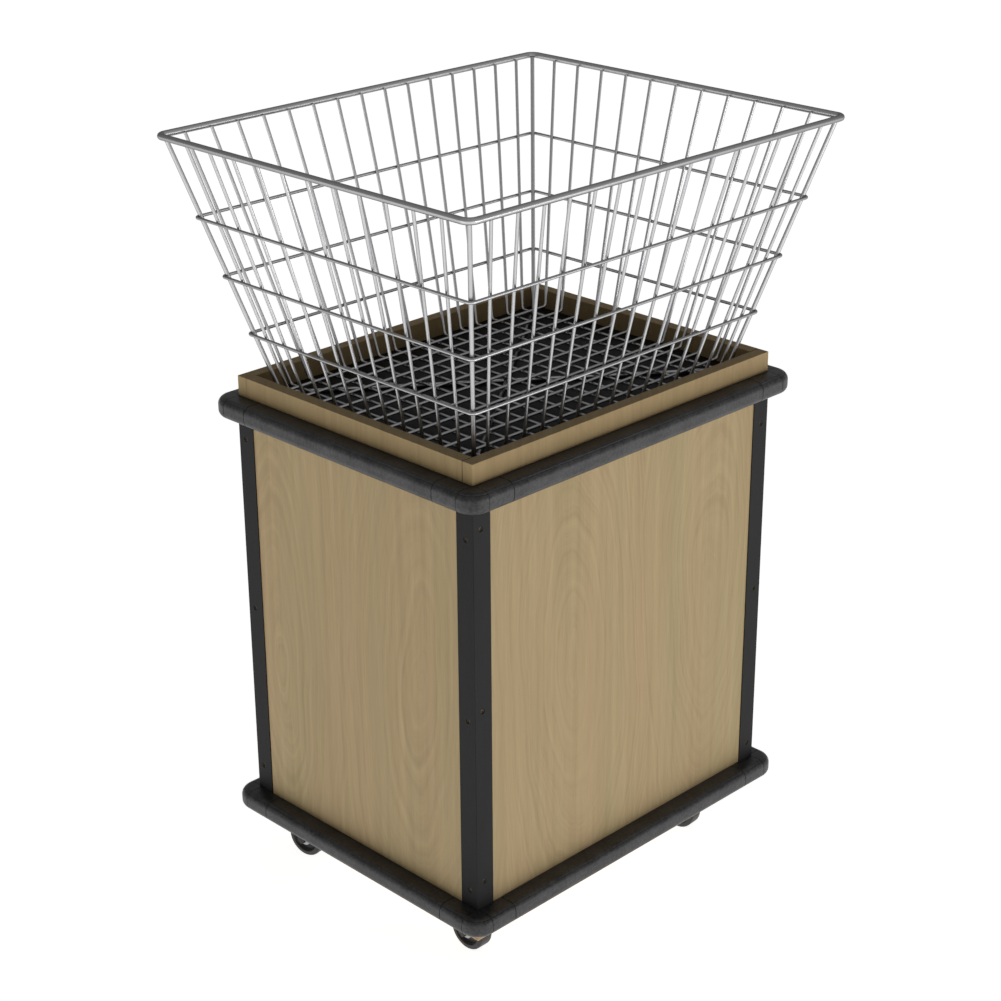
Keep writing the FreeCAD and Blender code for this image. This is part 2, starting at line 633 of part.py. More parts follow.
# -------------------------------------------------------------------- casters
for name, side_x, side_y, turn in CORNERS:
    at_x = f"{side_x} * (caster_x)"
    at_y = f"{side_y} * (caster_y)"
    rest = value(f"turn_{name}")

    plate = new_body(f"{name}_caster_plate")
    outline = sketch_on(plate, "XY_Plane", "outline")
    half = ("plate_length / 2", "plate_width / 2")
    rectangle(outline, f"-{half[0]}", f"-{half[1]}", *half, "plate_corner")
    extrude("Pad", plate, outline, "sheet", "plate_thickness")
    race = sketch_on(plate, "XY_Plane", "race")
    circle(race, "0", "0", "race_diameter / 2")
    extrude("Pad", plate, race, "race_ring", "race_height", reversed_way=True)
    holes = sketch_on(plate, "XY_Plane", "holes")
    for along in (-1, 1):
        for across in (-1, 1):
            spot = (f"{along} * bolt_span_x / 2", f"{across} * bolt_span_y / 2")
            circle(holes, *spot, "bolt_shank / 2 + bolt_fit")
    extrude("Pocket", plate, holes, "bolt_holes", "2 * plate_thickness", reversed_way=True)
    pin_hole = sketch_on(plate, "XY_Plane", "pin_hole")
    circle(pin_hole, "0", "0", "kingpin_diameter / 2 + kingpin_fit")
    reach = "2 * (plate_thickness + race_height)"
    extrude("Pocket", plate, pin_hole, "pin_bore", reach, symmetric=True)
    place(plate, at_x, at_y, "plate_foot")

    fork = new_body(f"{name}_caster_fork")
    side = sketch_on(fork, "YZ_Plane", "side")
    foot = "axle_height - fork_boss"
    draw(
        side,
        [
            ("-fork_front", "crown_top"),
            ("-fork_front", "crown_top - fork_skirt", "fork_bend"),
            ("caster_trail - fork_boss", foot, "fork_boss_round"),
            ("caster_trail + fork_boss", foot, "fork_boss_round"),
            ("caster_trail + fork_boss", "axle_height + fork_boss", "fork_boss_round"),
            ("fork_back", "crown_top"),
        ],
    )
    extrude("Pad", fork, side, "blank", "2 * (fork_half)", symmetric=True)
    slot = sketch_on(fork, "XZ_Plane", "slot")
    rectangle(slot, "-fork_gap / 2", "0", "fork_gap / 2", "crown_top - fork_wall")
    reach = "2 * (caster_trail + fork_boss + fork_front)"
    extrude("Pocket", fork, slot, "wheel_slot", reach, symmetric=True)
    crown = sketch_on(fork, "XY_Plane", "crown", z="crown_top - fork_wall")
    circle(crown, "0", "0", "crown_diameter / 2")
    extrude("Pad", fork, crown, "crown_disc", "fork_wall")
    pin_hole = sketch_on(fork, "XY_Plane", "pin_hole", z="crown_top")
    circle(pin_hole, "0", "0", "kingpin_diameter / 2 + kingpin_fit")
    extrude("Pocket", fork, pin_hole, "pin_bore", "2 * fork_wall")
    axle_hole = sketch_on(fork, "YZ_Plane", "axle_hole")
    circle(axle_hole, "caster_trail", "axle_height", "axle_diameter / 2 + axle_seat_fit")
    extrude("Pocket", fork, axle_hole, "axle_bore", "4 * (fork_half)", symmetric=True)
    place(fork, at_x, at_y, "0", rest)

    # The wheel, axle and nut lie along their own X, behind the swivel axis by the trail.
    behind_x = f"{at_x} - caster_trail * sin(turn_{name})"
    behind_y = f"{at_y} + caster_trail * cos(turn_{name})"

    wheel = new_body(f"{name}_wheel")
    half = sketch_on(wheel, "XY_Plane", "half")
    bore = "axle_diameter / 2 + axle_fit"
    rim = "wheel_diameter / 2 - tread_depth"
    right = [
        ("hub_half", bore),
        ("hub_half", "hub_diameter / 2"),
        ("web_thickness / 2", "hub_diameter / 2 + hub_side_gap"),
        ("web_thickness / 2", f"{rim} - tread_round / 2"),
        ("wheel_width / 2", rim),
        ("wheel_width / 2", "wheel_diameter / 2", "tread_round"),
    ]
    left = [(f"-({corner[0]})", *corner[1:]) for corner in reversed(right)]
    draw(half, right + left)
    turn_about("Revolution", wheel, half, "turned", "H_Axis")
    place(wheel, behind_x, behind_y, "axle_height", rest)

    axle = new_body(f"{name}_axle_bolt")
    head = sketch_on(axle, "YZ_Plane", "head", z="-(fork_half)")
    hexagon(head, "axle_flats")
    extrude("Pad", axle, head, "hex_head", "axle_head", reversed_way=True)
    shank = sketch_on(axle, "YZ_Plane", "shank", z="-(fork_half)")
    circle(shank, "0", "0", "axle_diameter / 2")
    extrude("Pad", axle, shank, "pin", "2 * (fork_half) + axle_nut + axle_end")
    place(axle, behind_x, behind_y, "axle_height", rest)

    nut = new_body(f"{name}_axle_nut")
    outline = sketch_on(nut, "YZ_Plane", "outline", z="fork_half")
    hexagon(outline, "axle_flats")
    extrude("Pad", nut, outline, "hex", "axle_nut")
    thread = sketch_on(nut, "YZ_Plane", "thread", z="fork_half")
    circle(thread, "0", "0", "axle_diameter / 2 + axle_seat_fit")
    extrude("Pocket", nut, thread, "bore", "axle_nut", reversed_way=True)
    place(nut, behind_x, behind_y, "axle_height", rest)

    for item in (fork, wheel, axle, nut):
        item.setExpression("Placement.Rotation.Angle", expr(f"turn_{name}"))

# Hex lag bolt, its origin on the underside of the plate and its shank along +Z.
bolt = new_body("caster_bolt_master", node=False)
head = sketch_on(bolt, "XY_Plane", "head")
hexagon(head, "bolt_flats")
extrude("Pad", bolt, head, "hex_head", "bolt_head", reversed_way=True)
shank = sketch_on(bolt, "XY_Plane", "shank")
circle(shank, "0", "0", "bolt_shank / 2")
extrude("Pad", bolt, shank, "pin", "plate_thickness + bolt_bite")

# Riveted kingpin, its origin at the top of the plate; the head hangs below the crown.
kingpin = new_body("kingpin_master", node=False)
pin_half = sketch_on(kingpin, "XZ_Plane", "half")
collar_drop = "plate_thickness + race_height + 2 * swivel_gap + fork_wall"
draw(
    pin_half,
    [
        ("0", "0"),
        ("kingpin_diameter / 2", "0"),
        ("kingpin_diameter / 2", f"-({collar_drop})"),
        ("kingpin_head / 2", f"-({collar_drop})"),
        ("kingpin_head / 2", f"-({collar_drop} + kingpin_head_height)", "kingpin_head_height / 2"),
        ("0", f"-({collar_drop} + kingpin_head_height)"),
    ],
)
turn_about("Revolution", kingpin, pin_half, "turned", "V_Axis")

bolt_spots = []
pin_spots = []
for name, side_x, side_y, turn in CORNERS:
    pin_spots.append((f"{side_x} * (caster_x)", f"{side_y} * (caster_y)", "caster_height", 0, (0, 0, 1)))
    for along in (-1, 1):
        for across in (-1, 1):
            x = f"{side_x} * (caster_x) + {along} * bolt_span_x / 2"
            y = f"{side_y} * (caster_y) + {across} * bolt_span_y / 2"
            bolt_spots.append((x, y, "plate_foot", 0, (0, 0, 1)))
group("caster_bolts", copies(bolt, "caster_bolt", bolt_spots))
group("caster_kingpins", copies(kingpin, "caster_kingpin", pin_spots))


# --------------------------------------------------------------------- basket
def ring(label, height, spread, bend, wire):
    """A closed wire about the basket, spread past the floor's half sizes."""
    body = new_body(label)
    path = sketch_on(body, "XY_Plane", "path")
    half_x = f"(basket_floor_x + {spread})"
    half_y = f"(basket_floor_y + {spread})"
    rectangle(path, f"-{half_x}", f"-{half_y}", half_x, half_y, bend)
    sweep(body, path, wire)
    place(body, z=height)


ring("basket_rim", "rim_z", "(rim_spread)", "rim_bend", "rim_wire")
for name in ("upper", "middle", "lower"):
    height = f"deck_top + hoop_{name}"
    spread = f"(({height} - long_floor_z) * lean_rise + hoop_overhang)"
    ring(f"{name}_hoop", height, spread, "hoop_bend", "thin_wire")


def upright_pair(name, number, role, floor_z, floor_half, pitch_floor, pitch_rim):
    """A U-shaped wire: a run across the floor and an upright at each end.

    The wires fan out towards the rim, so each lies in a plane that leans sideways by
    its number, counted from the middle wire, about the floor run.
    """
    body = new_body(name, node=False)
    fan = f"{abs(number)} * ({pitch_rim} - {pitch_floor}) / (rim_z - {floor_z})"
    foot = f"({floor_half} + ({floor_z} - long_floor_z) * lean_rise)"
    head = f"({floor_half} + (wire_top_z - long_floor_z) * lean_rise)"
    rise = f"(wire_top_z - {floor_z}) / cos(atan({fan}))"
    path = sketch_on(body, role, "path")
    corners = [(f"-{head}", rise), (f"-{foot}", "0", "wire_bend"), (foot, "0", "wire_bend"), (head, rise)]
    draw(path, corners, closed=False)
    sweep(body, path, "thin_wire")
    shift = f"{number} * {pitch_floor}"
    side = 1 if number >= 0 else -1
    tilt = math.degrees(math.atan(value(fan)))
    if role == "YZ_Plane":
        place(body, shift, "0", floor_z, tilt, (0, side, 0))
    else:
        place(body, "0", shift, floor_z, tilt, (-side, 0, 0))
    if number != 0:
        body.setExpression("Placement.Rotation.Angle", expr(f"atan({fan})"))
    return body


def wire_set(side, *layout):
    """A fan of U-shaped wires in even steps about the middle one.

    The steps from the middle wire to the last one are as many as bring the wires'
    feet nearest to the side's spacing.
    """
    steps = round(value(f"{side}_floor_reach / {side}_wire_spacing"))
    pitches = (f"({side}_floor_reach) / {steps}", f"({side}_rim_reach) / {steps}")
    wires = []
    for index in range(2 * steps + 1):
        wires.append(upright_pair(f"{side}_wire_{index:02d}", index - steps, *layout, *pitches))
    group(f"{side}_side_wires", wires)


wire_set("long", "YZ_Plane", "long_floor_z", "basket_floor_y")
wire_set("short", "XZ_Plane", "short_floor_z", "basket_floor_x")


def bent_rod(points, bend, diameter):
    """A round rod through points in space, with arcs of one radius at its corners."""
    edges = []
    start = points[0]
    for before, corner, after in zip(points, points[1:], points[2:]):
        back = (before - corner).normalize()
        ahead = (after - corner).normalize()
        half_turn = back.getAngle(ahead) / 2
        reach = bend / math.tan(half_turn)
        arrive = corner + back * reach
        leave = corner + ahead * reach
        centre = corner + (back + ahead).normalize() * (bend / math.sin(half_turn))
        middle = centre + (corner - centre).normalize() * bend
        edges.append(Part.LineSegment(start, arrive).toShape())
        edges.append(Part.Arc(arrive, middle, leave).toShape())
        start = leave
    edges.append(Part.LineSegment(start, points[-1]).toShape())
    path = Part.Wire(edges)
    section = Part.Wire([Part.Circle(points[0], points[1] - points[0], diameter / 2).toShape()])
    return path.makePipeShell([section], True, False)


def post_points(side_x, side_y):
    """Head and foot of the corner wire at one corner of the basket."""
    points = []
    for drift, height in (("post_head_rise", "post_top_z"), ("post_foot_drop", "diagonal_z")):
        x = value(f"basket_floor_x + {drift}")
        y = value(f"basket_floor_y + {drift}")
        points.append(FreeCAD.Vector(side_x * x, side_y * y, value(height)))
    return points


# The corner wires run on as the floor's two diagonals. One diagonal is whole; the
# other is two halves whose ends meet its sides.
bend = value("corner_wire")
thickness = value("corner_wire")
head_a, foot_a = post_points(-1, -1)
head_b, foot_b = post_points(1, 1)
rods = [bent_rod([head_a, foot_a, foot_b, head_b], bend, thickness)]
crossing = 2 * math.atan2(foot_b.y, foot_b.x)
clear = thickness / 2 * (1 + math.cos(crossing)) / math.sin(crossing) + value("weld_end_gap")
for side in (-1, 1):
    head_c, foot_c = post_points(side, -side)
    level = FreeCAD.Vector(0, 0, foot_c.z)
    inner = level + (foot_c - level).normalize() * clear
    rods.append(bent_rod([head_c, foot_c, inner], bend, thickness))
corner_wires = doc.addObject("Part::Feature", "corner_wires")
corner_wires.Label = "corner_wires"
corner_wires.Shape = Part.makeCompound(rods)
corner_wires.Placement = FreeCAD.Placement()
nodes.append(corner_wires)


# --------------------------------------------------------------- check and write
doc.recompute()
for item in doc.Objects:
    if "Invalid" in item.State or "Error" in item.State:
        raise RuntimeError(f"{item.Label} did not compute")
for item in doc.Objects:
    if item.TypeId in ("PartDesign::Pocket", "PartDesign::Groove"):
        if item.Shape.Volume > item.BaseFeature.Shape.Volume - 0.01:
            raise RuntimeError(f"{item.Label} cuts nothing")
for item in nodes:
    if item.Shape.isNull() or not item.Shape.isValid():
        raise RuntimeError(f"{item.Label} has no valid shape")

os.makedirs("parts", exist_ok=True)
for item in nodes:
    item.Shape.exportStep(f"parts/{item.Label}.step")
    print(f"{item.Label}: {len(item.Shape.Solids)} solids, {item.Shape.Volume / 1000:.2f} cm3")
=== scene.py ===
"""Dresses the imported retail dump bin: wood, rubber, steel and wire, in a plain soft studio."""
import json
import logging
import math
from dataclasses import dataclass
from enum import Enum
from typing import Iterable, Sequence

import bmesh
import bpy
from bmesh.types import BMesh, BMVert
from bpy.types import ID, Material, Mesh, Node, NodeTree, Object
from bpy.types import NodeSocket as Socket
from mathutils import Matrix, Vector


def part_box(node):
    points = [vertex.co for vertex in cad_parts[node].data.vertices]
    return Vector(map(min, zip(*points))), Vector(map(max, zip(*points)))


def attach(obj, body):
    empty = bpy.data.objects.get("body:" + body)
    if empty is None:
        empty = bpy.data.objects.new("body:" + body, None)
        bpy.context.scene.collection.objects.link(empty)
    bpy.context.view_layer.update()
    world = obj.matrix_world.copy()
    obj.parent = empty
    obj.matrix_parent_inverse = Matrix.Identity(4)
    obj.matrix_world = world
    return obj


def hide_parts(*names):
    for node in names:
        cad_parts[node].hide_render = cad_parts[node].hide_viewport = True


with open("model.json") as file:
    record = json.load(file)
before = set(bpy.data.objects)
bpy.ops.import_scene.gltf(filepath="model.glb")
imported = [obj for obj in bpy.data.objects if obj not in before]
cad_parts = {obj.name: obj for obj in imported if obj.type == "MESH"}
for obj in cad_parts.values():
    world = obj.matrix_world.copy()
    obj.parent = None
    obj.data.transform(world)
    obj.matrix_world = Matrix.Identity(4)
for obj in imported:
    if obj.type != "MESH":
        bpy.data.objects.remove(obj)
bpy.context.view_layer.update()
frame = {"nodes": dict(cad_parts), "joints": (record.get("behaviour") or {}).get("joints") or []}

LOG = logging.getLogger("dump_bin")
MM = 0.001
MERGE = 1e-6
Pair = tuple[float, float]
Triple = tuple[float, float, float]
Colour = tuple[float, float, float]
Feeds = dict[int | str, object]
BLACK: Colour = (0.0, 0.0, 0.0)
WHITE: Colour = (1.0, 1.0, 1.0)


def tone(red: int, green: int, blue: int) -> Colour:
    """Turn a display colour into scene-linear light.

    Args:
        red: Display red, 0 to 255.
        green: Display green, 0 to 255.
        blue: Display blue, 0 to 255.

    Returns:
        The same colour as three linear numbers.
    """
    linear = []
    for channel in (red, green, blue):
        share = channel / 255
        linear.append(share / 12.92 if share <= 0.04045 else ((share + 0.055) / 1.055) ** 2.4)
    return linear[0], linear[1], linear[2]


@dataclass(frozen=True)
class Grain:
    """One layer of noise, drawn out and shifted where it has a stretch."""

    scale: float = 1.0
    detail: float = 3.0
    rough: float = 0.5
    stretch: Triple | None = None
    shift: Triple = (0.0, 0.0, 0.0)


# ---- graphs
class NodeGraph:
    """A node tree under construction, with short calls for the nodes it needs."""

    def __init__(self, tree: NodeTree) -> None:
        """Take a tree and empty it."""
        self.tree = tree
        tree.nodes.clear()

    def feed(self, target: Socket, source: object) -> None:
        """Link a socket, or write a plain value into it.

        Args:
            target: Input to fill.
            source: Socket, number, text, vector or colour of three numbers.
        """
        if isinstance(source, Socket):
            self.tree.links.new(source, target)
        elif target.type == "RGBA":
            target.default_value = (*source, 1.0)
        else:
            target.default_value = source

    def add(self, kind: str, feeds: Feeds | None = None, **settings: object) -> Node:
        """Add a node.

        Args:
            kind: Type of the node.
            feeds: Input names or numbers with their sources.
            **settings: Properties of the node, set before its inputs.

        Returns:
            The new node.
        """
        item = self.tree.nodes.new(kind)
        for key, setting in settings.items():
            setattr(item, key, setting)
        for key, source in (feeds or {}).items():
            self.feed(item.inputs[key], source)
        return item

    def out(self, kind: str, feeds: Feeds | None = None, **settings: object) -> Socket:
        """Add a node as above, and hand over its first output."""
        return self.add(kind, feeds, **settings).outputs[0]

    def calc(self, operation: str, *terms: object) -> Socket:
        """Do one sum on numbers or sockets."""
        return self.out("ShaderNodeMath", dict(enumerate(terms)), operation=operation)

    def about(self, number: Socket, middle: float, gain: float) -> Socket:
        """Measure a number from a middle, and scale it."""
        return self.calc("MULTIPLY", self.calc("SUBTRACT", number, middle), gain)

    def weigh(self, *terms: tuple[object, object]) -> Socket:
        """Add up products.

        Args:
            *terms: Pairs of numbers or sockets, such as a pattern and its weight.

        Returns:
            The sum of the pairs' products.
        """
        products = [self.calc("MULTIPLY", *pair) for pair in terms]
        total = products.pop()
        while products:
            total = self.calc("ADD", products.pop(), total)
        return total

    def spread(self, factor: Socket, low: float, high: float) -> Socket:
        """Map 0 to 1 onto low to high."""
        return self.out("ShaderNodeMapRange", {"Value": factor, "To Min": low, "To Max": high})

    def axes(self, vector: Socket) -> tuple[Socket, Socket, Socket]:
        """Split a vector into its three numbers."""
        item = self.add("ShaderNodeSeparateXYZ", {0: vector})
        return item.outputs[0], item.outputs[1], item.outputs[2]

    def vector(self, x: object, y: object, z: object) -> Socket:
        """Join three numbers into a vector."""
        return self.out("ShaderNodeCombineXYZ", {0: x, 1: y, 2: z})

    def ramp(self, factor: Socket, *stops: tuple[float, Colour]) -> Socket:
        """Turn a number into a colour.

        Args:
            factor: Number between 0 and 1.
            *stops: Positions with their colours, from low to high.

        Returns:
            The colour at the number.
        """
        item = self.add("ShaderNodeValToRGB", {"Fac": factor})
        elements = item.color_ramp.elements
        while len(elements) < len(stops):
            elements.new(0.5)
        for element, (position, colour) in zip(elements, stops):
            element.position = position
            element.color = (*colour, 1.0)
        return item.outputs["Color"]


class ShaderGraph(NodeGraph):
    """A material under construction about one Principled shader."""

    def __init__(self, name: str) -> None:
        """Start the material with its shader and its object coordinates.

        Args:
            name: Name of the material.
        """
        self.material = bpy.data.materials.new(name)
        self.material.use_nodes = True
        super().__init__(self.material.node_tree)
        self.shader = self.add("ShaderNodeBsdfPrincipled")
        self.add("ShaderNodeOutputMaterial", {"Surface": self.shader.outputs["BSDF"]})
        self.place = self.add("ShaderNodeTexCoord").outputs["Object"]

    def noise(self, vector: Socket, grain: Grain) -> Socket:
        """Make smooth noise between 0 and 1.

        Args:
            vector: Position that the noise is read at.
            grain: Kind of noise.

        Returns:
            The noise there.
        """
        if grain.stretch is not None:
            feeds = {"Vector": vector, "Scale": grain.stretch, "Location": grain.shift}
            vector = self.out("ShaderNodeMapping", feeds)
        feeds = {"Vector": vector, "Scale": grain.scale, "Detail": grain.detail, "Roughness": grain.rough}
        return self.add("ShaderNodeTexNoise", feeds).outputs["Fac"]

    def blend(self, factor: object, first: object, second: object, way: str = "MIX") -> Socket:
        """Mix two colours, which are the node's inputs 6 and 7."""
        feeds = {0: factor, 6: first, 7: second}
        return self.add("ShaderNodeMix", feeds, data_type="RGBA", blend_type=way).outputs[2]

    def relief(self, height: Socket, strength: float, depth: float) -> None:
        """Raise the surface by a pattern; depth is in metres."""
        feeds = {"Strength": strength, "Distance": depth, "Height": height}
        self.feed(self.shader.inputs["Normal"], self.out("ShaderNodeBump", feeds))

    def finish(self, **values: object) -> Material:
        """Set the shader's sockets and hand the material over.

        Args:
            **values: Socket names with spaces as underscores, with a number, colour or socket.

        Returns:
            The finished material.
        """
        for name, source in values.items():
            self.feed(self.shader.inputs[name.replace("_", " ")], source)
        return self.material


class GeometryGraph(NodeGraph):
    """A Geometry Nodes tree under construction, with named inputs, one of them Finish."""

    def __init__(self, name: str, **inputs: Sequence[str]) -> None:
        """Start a tree.

        Args:
            name: Name of the tree.
            **inputs: Socket types, each with the names of its inputs.
        """
        super().__init__(bpy.data.node_groups.new(name, "GeometryNodeTree"))
        sockets = self.tree.interface
        sockets.new_socket("Geometry", in_out="INPUT", socket_type="NodeSocketGeometry")
        for kind, labels in inputs.items():
            for label in labels:
                sockets.new_socket(label, in_out="INPUT", socket_type=f"NodeSocket{kind}")
        sockets.new_socket("Geometry", in_out="OUTPUT", socket_type="NodeSocketGeometry")
        self.given = self.add("NodeGroupInput").outputs
        self.result = self.add("NodeGroupOutput").inputs[0]

    def shift(self, geometry: Socket, way: Socket, distance: Socket) -> Socket:
        """Move the points of a geometry by a distance along a way."""
        offset = self.out("ShaderNodeVectorMath", {0: way, "Scale": distance}, operation="SCALE")
        return self.out("GeometryNodeSetPosition", {"Geometry": geometry, "Offset": offset})

    def fillet(self, curve: Socket, steps: int) -> Socket:
        """Round a curve's corners by the input Bend."""
        feeds = {"Curve": curve, "Radius": self.given["Bend"], "Count": steps}
        return self.out("GeometryNodeFilletCurve", feeds, mode="POLY")

    def sweep(self, curve: Socket) -> None:
        """End with a round wire along a curve, by the inputs Wire and Sides.

        Args:
            curve: Middle line of the wire.
        """
        radius = self.calc("DIVIDE", self.given["Wire"], 2.0)
        feeds = {"Resolution": self.given["Sides"], "Radius": radius}
        section = self.out("GeometryNodeCurvePrimitiveCircle", feeds)
        feeds = {"Curve": curve, "Profile Curve": section, "Fill Caps": True}
        self.end(self.out("GeometryNodeCurveToMesh", feeds))

    def end(self, geometry: Socket) -> None:
        """Realize the geometry, dress it with the input Finish and hand it out.

        Args:
            geometry: What the tree has made.
        """
        real = self.out("GeometryNodeRealizeInstances", {0: geometry})
        feeds = {"Geometry": real, "Material": self.given["Finish"]}
        self.feed(self.result, self.out("GeometryNodeSetMaterial", feeds))

    def run(self, name: str, values: dict[str, object], mesh: Mesh | None = None) -> Object:
        """Run the tree on a mesh and keep the result as a plain mesh object.

        Args:
            name: Name of the new object.
            values: Input names with their values.
            mesh: Mesh that the tree starts from, or None for an empty one.

        Returns:
            A new object at the origin with a plain mesh.
        """
        source = add_object(f"{name}_source", mesh or bpy.data.meshes.new(f"{name}_source"))
        modifier = source.modifiers.new("build", "NODES")
        modifier.node_group = self.tree
        for item in self.tree.interface.items_tree:
            if item.in_out == "INPUT" and item.name in values:
                modifier[item.identifier] = values[item.name]
        depsgraph = bpy.context.evaluated_depsgraph_get()
        result = bpy.data.meshes.new_from_object(source.evaluated_get(depsgraph))
        result.name = name
        source.modifiers.remove(modifier)
        bpy.data.objects.remove(source)
        return add_object(name, result)


# ---- finishes
@dataclass(frozen=True)
class BirchVeneer:
    """Flat-sawn pale veneer under a satin lacquer, with cathedral figure.

    The veneer lies in upright leaves. The rings of a leaf are those of a cone, cut lengthwise: flame is the
    cone's slope, heart the height of its point, and ring the rings to a metre.
    """

    name: str
    green: Colour = tone(179, 160, 119)
    pink: Colour = tone(184, 160, 121)
    tint_stops: Pair = (0.38, 0.62)
    shade: Colour = (0.56, 0.525, 0.47)
    shade_stops: Pair = (0.41, 0.99)
    # painted shade: near-black colour of a board's end past butt, standing in for the shade in the butt joint
    seam: Colour = (0.03, 0.022, 0.014)
    butt: float = 10.0
    leaf: float = 0.30
    leaf_shift: float = 0.02
    leaf_seeds: Pair = (7.3, 3.7)
    heart: float = 0.46
    flame: float = 0.24
    ring: float = 125.0
    sway: Grain = Grain(rough=0.45, stretch=(3.0, 1.3, 1.0))
    sway_size: float = 0.16
    lift: Grain = Grain(2.1, 2)
    lift_size: float = 0.12
    wobble: Grain = Grain(detail=4, rough=0.6, stretch=(24.0, 5.0, 1.0))
    wobble_size: float = 1.7
    line: Grain = Grain(1.35, 3, 0.6)
    patch: Grain = Grain(detail=2, stretch=(11.0, 3.5, 1.0), shift=(0.7, 2.3, 0.0))
    patch_floor: float = 0.16
    patch_gain: float = 2.3
    slow: Grain = Grain(detail=2, stretch=(13.0, 0.9, 1.0), shift=(3.1, 0.4, 0.0))
    streaks: Grain = Grain(detail=4, rough=0.55, stretch=(90.0, 2.0, 1.0))
    pores: Grain = Grain(detail=2, rough=0.6, stretch=(700.0, 24.0, 1.0))
    figure: float = 0.62
    streak_share: float = 0.42
    pore_share: float = 0.24
    bump: Pair = (0.12, 0.2 * MM)
    rough: Pair = (0.50, 0.62)
    specular: float = 0.2

    def late_wood(self, graph: ShaderGraph, sheet: Socket, across: Socket, along: Socket) -> Socket:
        """Draw the dark lines of the growth rings.

        Args:
            graph: Material that they are for.
            sheet: Flat position on the veneer.
            across: Position across the leaves.
            along: Height on the veneer.

        Returns:
            A number about a half, higher on a dark line.
        """
        drift = graph.about(graph.noise(sheet, self.sway), 0.5, self.sway_size)
        turned = graph.calc("ADD", graph.calc("ADD", across, self.leaf_shift), drift)
        share = graph.calc("DIVIDE", turned, self.leaf)
        number = graph.calc("FLOOR", share)
        lift_seed, line_seed = (graph.calc("MULTIPLY", number, seed) for seed in self.leaf_seeds)
        side = graph.about(graph.calc("FRACT", share), 0.5, self.leaf)
        lift = graph.noise(graph.vector(lift_seed, along, 0.0), self.lift)
        rise = graph.about(along, self.heart, self.flame)
        slope = graph.calc("ADD", rise, graph.about(lift, 0.5, self.lift_size))
        radius = graph.calc("SQRT", graph.weigh((side, side), (slope, slope)))
        wobble = graph.noise(sheet, self.wobble)
        rings = graph.weigh((radius, self.ring), (wobble, self.wobble_size))
        strength = graph.about(graph.noise(sheet, self.patch), self.patch_floor, self.patch_gain)
        line = graph.noise(graph.vector(rings, line_seed, 0.0), self.line)
        return graph.calc("ADD", graph.about(line, 0.5, strength), 0.5)

    def build(self) -> Material:
        """Make the growth rings, the pores and streaks, slow upright bands of colour, and painted shade in
        the butt joints.

        Returns:
            The material.
        """
        graph = ShaderGraph(self.name)
        x, y, along = graph.axes(graph.place)
        across = graph.calc("SUBTRACT", x, y)
        sheet = graph.vector(across, along, 0.0)
        lines = self.late_wood(graph, sheet, across, along)
        pores = graph.noise(sheet, self.pores)
        streaks = graph.noise(sheet, self.streaks)
        tint = graph.ramp(graph.noise(sheet, self.slow), *zip(self.tint_stops, (self.green, self.pink)))
        mixed = graph.weigh((lines, self.figure), (streaks, self.streak_share), (pores, self.pore_share))
        depth = graph.ramp(mixed, *zip(self.shade_stops, (WHITE, self.shade)))
        wood = graph.blend(1.0, tint, depth, "MULTIPLY")
        # painted shade: past butt, the board's end in the butt joint turns near-black
        joint = graph.calc("GREATER_THAN", graph.calc("ABSOLUTE", y), self.butt)
        graph.relief(pores, *self.bump)
        return graph.finish(
            Base_Color=graph.blend(joint, wood, self.seam),
            Roughness=graph.spread(streaks, *self.rough),
            Specular_IOR_Level=self.specular,
        )


@dataclass(frozen=True)
class TwoTone:
    """A dull finish mixed from two tones by two layers of pattern; one layer raises it, one roughens it."""

    name: str
    dark: Colour
    light: Colour
    stops: Pair
    layers: tuple[Grain, ...]
    shares: Pair
    bump: Pair
    rough: Pair
    specular: float
    bump_by: int = 0
    rough_by: int = 0

    def patterns(self, graph: ShaderGraph) -> list[Socket]:
        """Read the layers of noise."""
        return [graph.noise(graph.place, layer) for layer in self.layers]

    def build(self) -> Material:
        """Mix the tones by the layers' shares.

        Returns:
            The material.
        """
        graph = ShaderGraph(self.name)
        patterns = self.patterns(graph)
        share = graph.weigh(*zip(patterns, self.shares))
        graph.relief(patterns[self.bump_by], *self.bump)
        return graph.finish(
            Base_Color=graph.ramp(share, *zip(self.stops, (self.dark, self.light))),
            Roughness=graph.spread(patterns[self.rough_by], *self.rough),
            Specular_IOR_Level=self.specular,
        )


@dataclass(frozen=True)
class PlainPly(TwoTone):
    """Unfinished plywood: pale faces of stretched fibre, and plies that show at the edge."""

    name: str = "plain_ply"
    dark: Colour = tone(128, 96, 62)
    light: Colour = tone(190, 165, 122)
    stops: Pair = (0.2, 0.75)
    layers: tuple[Grain, ...] = (Grain(rough=0.6, stretch=(8.0, 260.0, 260.0)),)
    shares: Pair = (0.45, 0.55)
    bump: Pair = (0.25, 0.3 * MM)
    rough: Pair = (0.6, 0.8)
    specular: float = 0.3
    bump_by: int = 1
    rough_by: int = 1
    ply: float = 1.9 * MM

    def patterns(self, graph: ShaderGraph) -> list[Socket]:
        """Read the plies from the height, and then the fibre."""
        plies = graph.calc("DIVIDE", graph.axes(graph.place)[2], self.ply)
        return [graph.calc("PINGPONG", plies, 1.0), *super().patterns(graph)]


@dataclass(frozen=True)
class MouldedRubber(TwoTone):
    """Dark moulded rubber: a mottled leather grain, and paler patches of bloom."""

    name: str
    dark: Colour = tone(17, 17, 18)
    light: Colour = tone(66, 66, 68)
    stops: Pair = (0.38, 0.66)
    layers: tuple[Grain, ...] = (Grain(210.0, 4, 0.65), Grain(22.0, 3, 0.6))
    shares: Pair = (0.6, 0.4)
    bump: Pair = (0.6, 0.8 * MM)
    rough: Pair = (0.34, 0.56)
    specular: float = 0.5


